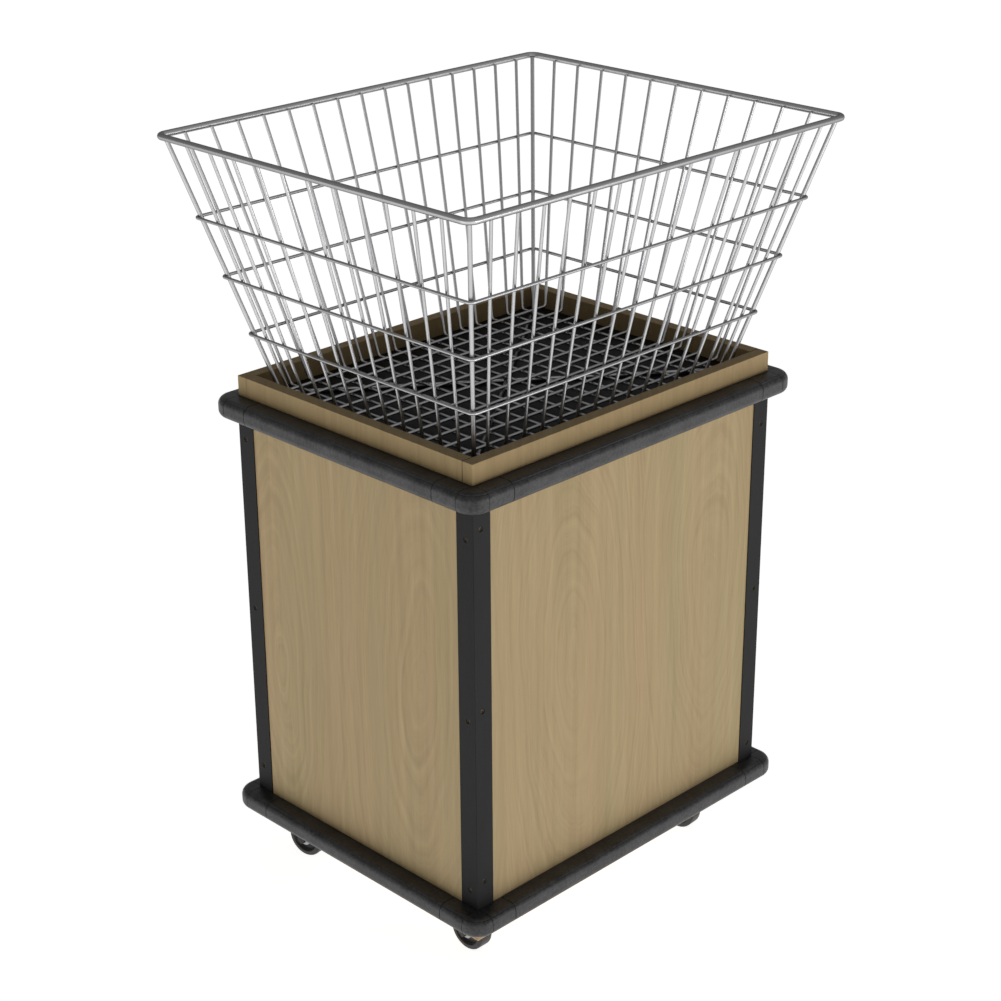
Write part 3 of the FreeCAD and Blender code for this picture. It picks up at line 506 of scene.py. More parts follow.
@dataclass(frozen=True)
class PowderCoat(TwoTone):
    """Dark powder coat on steel: a fine orange peel, and a little paler at rubbed spots."""

    name: str = "angle_paint"
    dark: Colour = tone(22, 22, 23)
    light: Colour = tone(36, 36, 37)
    stops: Pair = (0.40, 0.72)
    layers: tuple[Grain, ...] = (Grain(700.0, 3, 0.6), Grain(detail=4, rough=0.65, stretch=(30.0, 30.0, 6.0)))
    shares: Pair = (0.45, 0.55)
    bump: Pair = (0.4, 0.3 * MM)
    rough: Pair = (0.50, 0.66)
    specular: float = 0.2
    rough_by: int = 1


@dataclass(frozen=True)
class BlackLaminate:
    """Black laminate with a fine pebble and faint scuffs."""

    name: str = "black_laminate"
    body: Colour = tone(24, 24, 25)
    scuff: Colour = tone(48, 48, 49)
    scuffs: Grain = Grain(detail=5, rough=0.7, stretch=(40.0, 9.0, 1.0))
    stops: Pair = (0.62, 0.80)
    pebble: float = 900.0
    bump: Pair = (0.25, 0.2 * MM)
    rough: Pair = (0.35, 0.55)
    specular: float = 0.15

    def build(self) -> Material:
        """Make the pebble from cells and the scuffs from stretched noise.

        Returns:
            The material.
        """
        graph = ShaderGraph(self.name)
        scuffs = graph.noise(graph.place, self.scuffs)
        pebble = graph.add("ShaderNodeTexVoronoi", {"Vector": graph.place, "Scale": self.pebble})
        worn = graph.ramp(scuffs, *zip(self.stops, (BLACK, WHITE)))
        graph.relief(pebble.outputs["Distance"], *self.bump)
        return graph.finish(
            Base_Color=graph.blend(worn, self.body, self.scuff),
            Roughness=graph.spread(scuffs, *self.rough),
            Specular_IOR_Level=self.specular,
        )


@dataclass(frozen=True)
class PlatedSteel:
    """Plated steel with faint drawing lines and clouded plating, and, where it has one, painted shade towards
    a round wire's outline.
    """

    name: str
    body: Colour
    cloud: Colour
    rough: Pair = (0.22, 0.38)
    # painted shade: the colour a round wire takes towards its outline, where its surface turns from the view
    edge: Colour | None = None
    edge_shade_stops: Pair = (0.20, 0.75)
    clouds: Grain = Grain(60.0, 4, 0.6)
    marks: Grain = Grain(240.0, 2)
    bump: Pair = (0.05, 0.1 * MM)

    def build(self) -> Material:
        """Make the plating's clouds and fine marks, and the painted shade towards a round wire's outline.

        Returns:
            The material.
        """
        graph = ShaderGraph(self.name)
        clouds = graph.noise(graph.place, self.clouds)
        colour = graph.blend(clouds, self.body, self.cloud)
        # painted shade: the colour darkens where the surface turns from the view, at the wire's outline
        if self.edge is not None:
            facing = graph.add("ShaderNodeLayerWeight").outputs["Facing"]
            turned = graph.ramp(facing, *zip(self.edge_shade_stops, (BLACK, WHITE)))
            colour = graph.blend(turned, colour, self.edge)
        graph.relief(graph.noise(graph.place, self.marks), *self.bump)
        return graph.finish(Base_Color=colour, Metallic=1.0, Roughness=graph.spread(clouds, *self.rough))


class FinishBook:
    """All the finishes of the bin, built once."""

    def __init__(self) -> None:
        """Build every finish."""
        self.panel = BirchVeneer("birch_panel").build()
        collar = {"green": tone(168, 145, 103), "pink": tone(171, 146, 105), "figure": 0.3}
        self.collar_x = BirchVeneer("birch_collar_long", **collar).build()
        # the short collar boards get painted shade in the butt joints at their ends, past butt
        self.collar_y = BirchVeneer("birch_collar_short", butt=221.7 * MM, **collar).build()
        self.ply = PlainPly().build()
        self.deck = BlackLaminate().build()
        self.bumper = MouldedRubber("bumper_rubber").build()
        fine = (Grain(500.0, 4, 0.65), Grain(22.0, 3, 0.6))
        self.tread = MouldedRubber(
            "wheel_rubber", tone(20, 20, 21), tone(38, 38, 39), layers=fine, rough=(0.37, 0.59)
        ).build()
        self.angle = PowderCoat().build()
        self.screw = PlatedSteel("screw_bronze", tone(100, 88, 68), tone(62, 54, 43), (0.3, 0.45)).build()
        # the wire's last colour is painted shade towards its outline
        self.wire = PlatedSteel(
            "basket_wire", tone(214, 214, 215), tone(200, 200, 202), (0.27, 0.36), tone(100, 100, 102)
        ).build()
        self.zinc = PlatedSteel("caster_zinc", tone(172, 174, 176), tone(142, 144, 146)).build()
        self.axle = PlatedSteel("axle_steel", tone(70, 68, 66), tone(48, 47, 46), (0.3, 0.5)).build()


# ---- mesh making
def add_object(name: str, data: ID) -> Object:
    """Put a mesh, camera or light into the scene.

    Args:
        name: Name of the object.
        data: What the object shows.

    Returns:
        The new object, at the origin.
    """
    item = bpy.data.objects.new(name, data)
    bpy.context.scene.collection.objects.link(item)
    return item


def smooth(mesh: Mesh, sharp: float) -> None:
    """Smooth a mesh but for edges of more than an angle in degrees."""
    mesh.shade_smooth()
    mesh.set_sharp_from_angle(angle=math.radians(sharp))


def dress_mesh(mesh: Mesh, material: Material) -> None:
    """Give a mesh one finish."""
    mesh.materials.clear()
    mesh.materials.append(material)


def dress(names: Iterable[str], material: Material) -> None:
    """Give CAD nodes a finish."""
    for name in names:
        dress_mesh(frame["nodes"][name].data, material)


def add_piece(name: str, mesh: Mesh, material: Material, sharp: float) -> Object:
    """Make an object of a mesh at the origin, smooth but for its sharp edges.

    Args:
        name: Name of the piece.
        mesh: The piece's mesh.
        material: The piece's finish.
        sharp: Angle in degrees above which an edge stays sharp.

    Returns:
        The new object.
    """
    mesh.name = name
    dress_mesh(mesh, material)
    smooth(mesh, sharp)
    return add_object(name, mesh)


def mesh_of(work: BMesh, name: str) -> Mesh:
    """Write a bmesh out as a mesh, and free it.

    Args:
        work: The bmesh.
        name: Name of the mesh.

    Returns:
        The mesh.
    """
    mesh = bpy.data.meshes.new(name)
    work.to_mesh(mesh)
    work.free()
    return mesh


def strip(work: BMesh, near: list[BMVert], far: list[BMVert]) -> None:
    """Join two equal rings of points with faces."""
    for corners in zip(near, near[1:] + near[:1], far[1:] + far[:1], far):
        work.faces.new(corners)


def skin(loops: Sequence[Sequence[Vector]], closed: bool = False) -> Mesh:
    """Skin a row of equal loops of points, and close the ends.

    Args:
        loops: Loops of points, one after another along the piece.
        closed: Whether the last loop joins the first; otherwise both ends are capped.

    Returns:
        A closed mesh with its faces outwards.
    """
    work = bmesh.new()
    rows = [[work.verts.new(point) for point in loop] for loop in loops]
    for near, far in zip(rows, rows[1:]):
        strip(work, near, far)
    if closed:
        strip(work, rows[-1], rows[0])
    else:
        work.faces.new(list(reversed(rows[0])))
        work.faces.new(rows[-1])
    bmesh.ops.remove_doubles(work, verts=work.verts, dist=MERGE)
    bmesh.ops.recalc_face_normals(work, faces=work.faces)
    return mesh_of(work, "skin")


def lathe(profile: Sequence[Pair], steps: int, place: Matrix) -> Mesh:
    """Turn a closed profile of (along, radius) about the local X axis.

    Args:
        profile: Closed outline that stays off the axis.
        steps: Number of steps round.
        place: Where the turned piece stands.

    Returns:
        A closed mesh.
    """
    loops = []
    for step in range(steps):
        turn = place @ Matrix.Rotation(math.tau * step / steps, 4, "X")
        loops.append([turn @ Vector((along, radius, 0)) for along, radius in profile])
    return skin(loops, closed=True)


def arc_points(centre: Pair, radius: float, start: float, end: float, steps: int) -> list[Pair]:
    """Find points along an arc, both ends included.

    Args:
        centre: Centre of the arc.
        radius: Radius of the arc.
        start: Bearing of the first point, in degrees.
        end: Bearing of the last point, in degrees.
        steps: Number of steps between them.

    Returns:
        The points in order.
    """
    points = []
    for step in range(steps + 1):
        bearing = math.radians(start + (end - start) * step / steps)
        points.append((centre[0] + radius * math.cos(bearing), centre[1] + radius * math.sin(bearing)))
    return points


# ---- the cabinet
class Corner(Enum):
    """The four corners of the bin, in order round it."""

    FRONT_LEFT = "front_left"
    FRONT_RIGHT = "front_right"
    REAR_RIGHT = "rear_right"
    REAR_LEFT = "rear_left"

    def sides(self) -> tuple[int, int]:
        """Signs of X and Y at the corner."""
        return (1 if "right" in self.value else -1), (1 if "rear" in self.value else -1)

    def turn(self) -> float:
        """Turn that brings the front left corner here, in degrees."""
        return 90.0 * list(Corner).index(self)


@dataclass
class Cabinet:
    """The boards, the corner angles and their screws.

    The head's levels go up its side: how far each is beyond the radius, and its height.
    """

    finishes: FinishBook
    half_x: float = 304.8 * MM
    half_y: float = 241.3 * MM
    angle_skin: float = 1.6 * MM
    screw_inset: float = 14.5 * MM
    screw_first: float = 28.2 * MM
    screw_stagger: float = 15.0 * MM
    screw_pitch: float = 271.95 * MM
    screw_rows: int = 3
    screw_mouth: float = 8.0 * MM
    screw_sink: float = 0.9 * MM
    screw_spin: int = 37
    head_steps: int = 32
    head_sharp: float = 30.0
    head_levels: tuple[Pair, ...] = ((-1.2 * MM, -1.5 * MM), (0.0, -0.3 * MM), (-0.25 * MM, -0.12 * MM))
    face_level: float = -0.02 * MM
    recess: float = 2.5 * MM
    slot: float = 0.8 * MM
    recess_level: float = -1.1 * MM
    recess_taper: float = 0.55

    def boards(self) -> None:
        """Dress the boards, each with its own grain."""
        dress(("front_panel", "rear_panel", "left_panel", "right_panel"), self.finishes.panel)
        dress(("front_collar_board", "rear_collar_board"), self.finishes.collar_x)
        dress(("left_collar_board", "right_collar_board"), self.finishes.collar_y)
        dress(("base_board",), self.finishes.ply)
        dress(("deck_board",), self.finishes.deck)
        LOG.info("boards dressed")

    def angles(self) -> None:
        """Dress the corner angles."""
        dress((f"{corner.value}_corner_angle" for corner in Corner), self.finishes.angle)
        LOG.info("corner angles dressed")

    def cross(self) -> list[Vector]:
        """Outline of the cross recess, in order round it.

        Returns:
            Twelve points, flat at the origin.
        """
        spots = []
        for quarter in range(4):
            turn = Matrix.Rotation(math.pi / 2 * quarter, 3, "Z")
            for x, y in ((self.slot, self.slot), (self.recess, self.slot), (self.recess, -self.slot)):
                spots.append(turn @ Vector((x, y, 0)))
        spots.sort(key=lambda spot: math.atan2(spot.y, spot.x))
        return spots

    def head(self) -> Object:
        """Make one countersunk screw head with a cross recess, facing +Z.

        Returns:
            The form that is set at every seat.
        """
        work = bmesh.new()
        radius = self.screw_mouth / 2 - self.screw_sink
        rows = []
        for beyond, level in self.head_levels:
            ring = arc_points((0.0, 0.0), radius + beyond, 0, 360, self.head_steps)[:-1]
            rows.append([work.verts.new((x, y, level)) for x, y in ring])
        cross = self.cross()
        face, depth = Vector((0, 0, self.face_level)), Vector((0, 0, self.recess_level))
        top = [work.verts.new(spot + face) for spot in cross]
        floor = [work.verts.new(spot * self.recess_taper + depth) for spot in cross]
        for near, far in zip(rows, rows[1:]):
            strip(work, near, far)
        work.faces.new(list(reversed(rows[0])))
        outer = rows[-1]
        edges = [work.edges.get(pair) for pair in zip(outer, outer[1:] + outer[:1])]
        edges += [work.edges.new(pair) for pair in zip(top, top[1:] + top[:1])]
        bmesh.ops.triangle_fill(work, edges=edges, use_beauty=True)
        strip(work, floor, top)
        work.faces.new(list(reversed(floor)))
        bmesh.ops.recalc_face_normals(work, faces=work.faces)
        return add_object("screw_head_form", mesh_of(work, "screw_head"))

    def screw_seats(self) -> list[tuple[Vector, Vector]]:
        """Find where the screws stand on the angles' faces.

        Returns:
            Place and outward direction of each screw.
        """
        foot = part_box("front_left_corner_angle")[0].z
        out_x = self.half_x + self.angle_skin
        out_y = self.half_y + self.angle_skin
        seats = []
        for corner in Corner:
            side_x, side_y = corner.sides()
            for step in range(self.screw_rows):
                level = foot + self.screw_first + step * self.screw_pitch
                long_face = Vector((side_x * (out_x - self.screw_inset), side_y * out_y, level))
                short_face = Vector((side_x * out_x, side_y * (out_y - self.screw_inset), level))
                raised = long_face if side_x == side_y else short_face
                raised.z += self.screw_stagger
                seats.append((long_face, Vector((0, side_y, 0))))
                seats.append((short_face, Vector((side_x, 0, 0))))
        return seats

    def screw_graph(self) -> GeometryGraph:
        """Set a head at each point, turned to its facing and spun about it.

        Returns:
            A tree that starts from points with the attributes facing and spin.
        """
        graph = GeometryGraph("screw_heads", Object=("Head",), Float=("Sink",), Material=("Finish",))
        given = graph.given
        form = graph.add("GeometryNodeObjectInfo", {"Object": given["Head"]}).outputs["Geometry"]
        outward, spin = (
            graph.out("GeometryNodeInputNamedAttribute", {"Name": name}, data_type=kind)
            for name, kind in (("facing", "FLOAT_VECTOR"), ("spin", "FLOAT"))
        )
        aligned = graph.out("FunctionNodeAlignRotationToVector", {"Vector": outward}, axis="Z")
        spun = graph.out("FunctionNodeAxisAngleToRotation", {"Axis": (0, 0, 1), "Angle": spin})
        feeds = {"Rotation": aligned, "Rotate By": spun}
        rotation = graph.out("FunctionNodeRotateRotation", feeds, rotation_space="LOCAL")
        sunk = graph.shift(given["Geometry"], outward, graph.calc("MULTIPLY", given["Sink"], -1.0))
        feeds = {"Points": sunk, "Instance": form, "Rotation": rotation}
        graph.end(graph.out("GeometryNodeInstanceOnPoints", feeds))
        return graph

    def screws(self) -> None:
        """Set a screw head at each seat with Geometry Nodes."""
        head = self.head()
        cloud = bpy.data.meshes.new("screw_seats")
        seats = self.screw_seats()
        cloud.from_pydata([seat for seat, _ in seats], [], [])
        cloud.attributes.new("facing", "FLOAT_VECTOR", "POINT")
        cloud.attributes.new("spin", "FLOAT", "POINT")
        for number, (_, outward) in enumerate(seats):
            cloud.attributes["facing"].data[number].vector = outward
            cloud.attributes["spin"].data[number].value = math.radians(number * self.screw_spin % 90)
        values = {"Head": head, "Sink": self.screw_sink, "Finish": self.finishes.screw}
        piece = self.screw_graph().run("angle_screw_heads", values, cloud)
        bpy.data.objects.remove(head)
        smooth(piece.data, self.head_sharp)
        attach(piece, "cabinet")
        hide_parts("angle_screws")
        LOG.info("screw heads: %d", len(seats))

    def build(self) -> None:
        """Dress the boards and angles and set the screws."""
        self.boards()
        self.angles()
        self.screws()


# ---- the bumpers
@dataclass
class BumperBand:
    """One rubber band: four rails and four corner fittings.

    A crease runs along the band's upper nose, at a bearing and with a span in degrees.
    """

    finishes: FinishBook
    level: str
    half_x: float = 304.8 * MM
    half_y: float = 241.3 * MM
    height: float = 31.0 * MM
    reach: float = 30.1 * MM
    nose: float = 11.5 * MM
    leg: float = 47.2 * MM
    seam: float = 0.8 * MM
    ease: float = 0.5 * MM
    land: float = 1.0 * MM
    groove: float = 0.9 * MM
    groove_side: float = 0.2 * MM
    crease: float = 0.8 * MM
    crease_at: float = 52.0
    crease_span: float = 4.0
    crease_floor: float = 0.5
    arc_steps: int = 12
    elbow_steps: int = 18
    sharp: float = 40.0

    def section(self, inset: float) -> list[Pair]:
        """Outline the band as (outward, up).

        Args:
            inset: How far the outline is drawn in.

        Returns:
            Points from the foot of the wall side to its head.
        """
        nose = self.nose - inset
        out = self.reach - inset
        lower = arc_points((out - nose, inset + nose), nose, -90, 0, self.arc_steps)
        crown = (out - nose, self.height - inset - nose)
        side = arc_points(crown, nose, 0, self.crease_at - self.crease_span, self.arc_steps)
        floor_end = self.crease_at + self.crease_floor
        crease = arc_points(crown, nose - self.crease, self.crease_at, floor_end, 1)
        top = arc_points(crown, nose, self.crease_at + self.crease_span, 90, self.arc_steps // 2)
        return [(0.0, inset), *lower, *side, *crease, *top, (0.0, self.height - inset)]

    def loop(self, base: Vector, outward: Vector, inset: float) -> list[Vector]:
        """The outline set up at a base point, facing outward."""
        return [base + outward * out + Vector((0, 0, up)) for out, up in self.section(inset)]

    def rail(self, name: str, turn: float, length: float, offset: float, foot: float) -> Object:
        """Make a straight rail with eased ends.

        Args:
            name: Name of the piece.
            turn: Turn from the front side, in degrees.
            length: Length of the cabinet's side.
            offset: Distance of that side from the middle.
            foot: Height of the band's underside.

        Returns:
            The rail.
        """
        place = Matrix.Rotation(math.radians(turn), 4, "Z")
        half = length / 2 - self.leg - self.seam / 2
        eased = half - self.ease
        stations = ((-half, self.ease), (-eased, 0.0), (eased, 0.0), (half, self.ease))
        loops = []
        for along, inset in stations:
            points = self.loop(Vector((along, -offset, foot)), Vector((0, -1, 0)), inset)
            loops.append([place @ point for point in points])
        return add_piece(name, skin(loops), self.finishes.bumper, self.sharp)

    def fitting(self, name: str, corner: Corner, foot: float) -> Object:
        """Make a corner fitting: two legs, and an elbow between two grooves.

        Args:
            name: Name of the piece.
            corner: Where it stands.
            foot: Height of the band's underside.

        Returns:
            The fitting.
        """
        end = self.leg - self.seam / 2
        near = self.land
        far = self.land + self.groove
        stations = [
            (end, self.ease), (end - self.ease, 0.0), (far, 0.0),
            (far - self.groove_side, self.groove), (near + self.groove_side, self.groove), (near, 0.0),
        ]
        loops = [self.loop(Vector((along, 0, 0)), Vector((0, -1, 0)), inset) for along, inset in stations]
        for step in range(self.elbow_steps + 1):
            bearing = math.radians(-90 - 90 * step / self.elbow_steps)
            loops.append(self.loop(Vector(), Vector((math.cos(bearing), math.sin(bearing), 0)), 0.0))
        for along, inset in reversed(stations):
            loops.append(self.loop(Vector((0, along, 0)), Vector((-1, 0, 0)), inset))
        side_x, side_y = corner.sides()
        place = Matrix.Translation((side_x * self.half_x, side_y * self.half_y, foot))
        place = place @ Matrix.Rotation(math.radians(corner.turn()), 4, "Z")
        placed = [[place @ point for point in loop] for loop in loops]
        return add_piece(name, skin(placed), self.finishes.bumper, self.sharp)

    def build(self) -> None:
        """Build the rails and the corner fittings of the band."""
        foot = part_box(f"front_{self.level}_bumper")[0].z
        for side, turn, length, offset in (
            ("front", 0, 2 * self.half_x, self.half_y),
            ("rear", 180, 2 * self.half_x, self.half_y),
            ("left", 270, 2 * self.half_y, self.half_x),
            ("right", 90, 2 * self.half_y, self.half_x),
        ):
            node = f"{side}_{self.level}_bumper"
            self.keep(self.rail(f"{node}_rail", turn, length, offset, foot), node)
        for corner in Corner:
            node = f"{corner.value}_{self.level}_bumper_corner"
            self.keep(self.fitting(f"{node}_moulding", corner, foot), node)
        LOG.info("%s bumper band: 8 pieces", self.level)

    def keep(self, piece: Object, node: str) -> None:
        """Let a piece stand for its node.

        Args:
            piece: The piece.
            node: The CAD node's name.
        """
        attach(piece, "cabinet")
        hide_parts(node)


# ---- the basket
@dataclass
class WireBasket:
    """The flared basket of plated wire. Heights of the rim and hoops are above the deck."""

    finishes: FinishBook
    deck: float = 784.4 * MM
    lean: float = 15.0
    floor_x: float = 263.7 * MM
    floor_y: float = 202.0 * MM
    seat_gap: float = 0.3 * MM
    thin: float = 4.76 * MM
    post: float = 6.35 * MM
    rim: float = 9.5 * MM
    rim_bend: float = 13.0 * MM
    rim_height: float = 379.9 * MM
    rim_overhang: float = 6.1 * MM
    hoop_heights: Triple = (264.1 * MM, 178.0 * MM, 92.7 * MM)
    hoop_bend: float = 8.0 * MM
    foot_bend: float = 7.0 * MM
    long_count: int = 15
    long_pitches: Pair = (34.1 * MM, 46.594 * MM)
    short_count: int = 11
    short_pitches: Pair = (35.3 * MM, 50.492 * MM)
    weld: float = 0.05 * MM
    end_gap: float = 0.05 * MM
    rim_sides: int = 20
    post_sides: int = 14
    thin_sides: int = 12
    ring_steps: int = 10
    foot_steps: int = 8
    sharp: float = 50.0

    def __post_init__(self) -> None:
        """Work out the heights of the floor wires and the rim."""
        lean = math.radians(self.lean)
        self.rise = math.tan(lean)
        self.rim_z = self.deck + self.rim_height
        self.diagonal_z = self.deck + self.seat_gap + self.post / 2
        self.long_z = self.diagonal_z + self.post / 2 + self.weld + self.thin / 2
        self.short_z = self.long_z + self.thin + self.weld
        self.hoop_out = (self.thin + self.weld) / math.cos(lean)
        tilt = math.atan(self.rise * math.sqrt(2))
        touch = (self.thin / 2 + self.post / 2 + self.weld) / math.cos(tilt)
        self.post_inset = self.hoop_bend - self.hoop_out - (self.hoop_bend - touch) / math.sqrt(2)
        self.wire_top = self.wire_head(lean, self.rim_overhang, self.thin)
        step = self.rim_bend - (self.rim_bend - self.rim_overhang - self.post_inset) * math.sqrt(2)
        self.post_top = self.wire_head(tilt, step, self.post)

    def wire_head(self, lean: float, step: float, wire: float) -> float:
        """Height at which a leaning wire meets the rim's inner side.

        Args:
            lean: Lean of the wire from upright, in radians.
            step: Level distance from the wire's line to the rim's centre, at rim height.
            wire: Diameter of the wire.

        Returns:
            Height of the wire's end.
        """
        side = step * math.cos(lean) - wire / 2
        slack = math.sqrt((self.rim / 2) ** 2 - side**2) + self.end_gap
        return self.rim_z + (step * math.sin(lean) - slack) * math.cos(lean)

    def half_size(self, height: float, inset: float = 0.0) -> Pair:
        """Half sizes of the basket's wall at a height, on the upright wires' centres less an inset."""
        spread = (height - self.long_z) * self.rise - inset
        return self.floor_x + spread, self.floor_y + spread

    def ring_graph(self) -> GeometryGraph:
        """Run a closed round wire about a rectangle with bent corners.

        Returns:
            A tree that needs no mesh to start from.
        """
        sizes = ("Length", "Depth", "Height", "Bend", "Wire")
        graph = GeometryGraph("wire_ring", Float=sizes, Int=("Sides",), Material=("Finish",))
        given = graph.given
        feeds = {"Width": given["Length"], "Height": given["Depth"]}
        outline = graph.out("GeometryNodeCurvePrimitiveQuadrilateral", feeds)
        bent = graph.fillet(outline, self.ring_steps)
        feeds = {"Geometry": bent, "Translation": graph.vector(0.0, 0.0, given["Height"])}
        graph.sweep(graph.out("GeometryNodeTransform", feeds))
        return graph

    def rod_graph(self) -> GeometryGraph:
        """Run bent wires through four points, repeated and fanned out along one direction.

        Returns:
            A tree that needs no mesh to start from.
        """
        graph = GeometryGraph(
            "wire_rods",
            Vector=("Head A", "Foot A", "Foot B", "Head B", "Along"),
            Float=("Floor Pitch", "Rim Pitch", "Floor Height", "Rim Height", "Bend", "Wire"),
            Int=("Count", "Sides"),
            Material=("Finish",),
        )
        given = graph.given
        points = ("Head A", "Foot A", "Foot B", "Head B")
        feeds = {f"Point {number}": given[point] for number, point in enumerate(points, 1)}
        outline = graph.out("GeometryNodeCurvePrimitiveQuadrilateral", feeds, mode="POINTS")
        opened = graph.out("GeometryNodeSetSplineCyclic", {"Geometry": outline, "Cyclic": False})
        feeds = {"Geometry": graph.fillet(opened, self.foot_steps), "Amount": given["Count"]}
        many = graph.add("GeometryNodeDuplicateElements", feeds, domain="SPLINE")
        middle = graph.calc("DIVIDE", graph.calc("SUBTRACT", given["Count"], 1.0), 2.0)
        number = graph.calc("SUBTRACT", many.outputs["Duplicate Index"], middle)
        height = graph.axes(graph.out("GeometryNodeInputPosition"))[2]
        climbed = graph.calc("SUBTRACT", height, given["Floor Height"])
        whole = graph.calc("SUBTRACT", given["Rim Height"], given["Floor Height"])
        climb = graph.calc("DIVIDE", climbed, whole)
        widening = graph.calc("SUBTRACT", given["Rim Pitch"], given["Floor Pitch"])
        pitch = graph.calc("ADD", given["Floor Pitch"], graph.calc("MULTIPLY", widening, climb))
        graph.sweep(graph.shift(many.outputs[0], given["Along"], graph.calc("MULTIPLY", number, pitch)))
        return graph

    def keep(self, piece: Object, node: str) -> None:
        """Let a wire piece stand for its node.

        Args:
            piece: The piece.
            node: The CAD node's name.
        """
        smooth(piece.data, self.sharp)
        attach(piece, "basket")
        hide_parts(node)

    def rings(self) -> None:
        """Build the rim and the three hoops."""
        graph = self.ring_graph()
        rim = (self.rim_overhang, self.rim_bend, self.rim, self.rim_sides)
        hoop = (self.hoop_out, self.hoop_bend, self.thin, self.post_sides)
        nodes = ("basket_rim", "upper_hoop", "middle_hoop", "lower_hoop")
        for node, above in zip(nodes, (self.rim_height, *self.hoop_heights)):
            out, bend, wire, sides = rim if node == "basket_rim" else hoop
            half_x, half_y = self.half_size(self.deck + above, -out)
            piece = graph.run(
                f"{node}_wire",
                {"Length": 2 * half_x, "Depth": 2 * half_y, "Height": self.deck + above, "Bend": bend,
                 "Wire": wire, "Sides": sides, "Finish": self.finishes.wire},
            )
            self.keep(piece, node)

    def uprights(self) -> None:
        """Build the U-shaped wires of the long and the short sides."""
        graph = self.rod_graph()
        head_x, head_y = self.half_size(self.wire_top)
        foot_x, _ = self.half_size(self.short_z)
        long_run = (self.long_count, self.long_z, (0, 1), self.floor_y, head_y, self.long_pitches)
        short_run = (self.short_count, self.short_z, (1, 0), foot_x, head_x, self.short_pitches)
        for node, run in (("long_side_wires", long_run), ("short_side_wires", short_run)):
            count, floor_z, (x, y), foot, head, (floor_pitch, rim_pitch) = run
            piece = graph.run(
                f"{node}_fan",
                {"Head A": (-x * head, -y * head, self.wire_top), "Foot A": (-x * foot, -y * foot, floor_z),
                 "Foot B": (x * foot, y * foot, floor_z), "Head B": (x * head, y * head, self.wire_top),
                 "Count": count, "Along": (float(y), float(x), 0.0), "Floor Pitch": floor_pitch,
                 "Rim Pitch": rim_pitch, "Floor Height": floor_z, "Rim Height": self.rim_z,
                 "Bend": self.foot_bend, "Wire": self.thin, "Sides": self.thin_sides,
                 "Finish": self.finishes.wire},
            )
            self.keep(piece, node)

    def corner_posts(self) -> None:
        """Build the corner wires that run on as the floor's diagonals: one whole, and one in two halves."""
        graph = self.rod_graph()
        foot_x, foot_y = self.half_size(self.diagonal_z, self.post_inset)
        head_x, head_y = self.half_size(self.post_top, self.post_inset)
        crossing = 2 * math.atan2(foot_y, foot_x)
        clear = self.post / 2 * (1 + math.cos(crossing)) / math.sin(crossing) + self.end_gap
        flat = Vector((foot_x, foot_y, 0)).normalized()
        rods = [((-1, -1), (-foot_x, -foot_y), (foot_x, foot_y), (head_x, head_y, self.post_top))]
        for side in (-1, 1):
            inner = (side * flat.x * clear, -side * flat.y * clear)
            middle = (side * foot_x / 2, -side * foot_y / 2)
            rods.append(((side, -side), (side * foot_x, -side * foot_y), middle, (*inner, self.diagonal_z)))
        work = bmesh.new()
        for number, ((x, y), foot_a, foot_b, head_b) in enumerate(rods):
            part = graph.run(
                f"post_{number}",
                {"Head A": (x * head_x, y * head_y, self.post_top), "Foot A": (*foot_a, self.diagonal_z),
                 "Foot B": (*foot_b, self.diagonal_z), "Head B": head_b, "Count": 1,
                 "Along": (1.0, 0.0, 0.0), "Floor Pitch": 0.0, "Rim Pitch": 0.0,
                 "Floor Height": self.diagonal_z, "Rim Height": self.rim_z, "Bend": self.post,
                 "Wire": self.post, "Sides": self.post_sides, "Finish": self.finishes.wire},
            )
            work.from_mesh(part.data)
            bpy.data.objects.remove(part)
        mesh = mesh_of(work, "corner_posts")
        self.keep(add_piece("corner_wires_bent", mesh, self.finishes.wire, self.sharp), "corner_wires")

    def build(self) -> None:
        """Build all the wires of the basket."""
        self.rings()
        self.uprights()
        self.corner_posts()
        LOG.info("basket: rim, 3 hoops, %d U wires, corner wires", self.long_count + self.short_count)


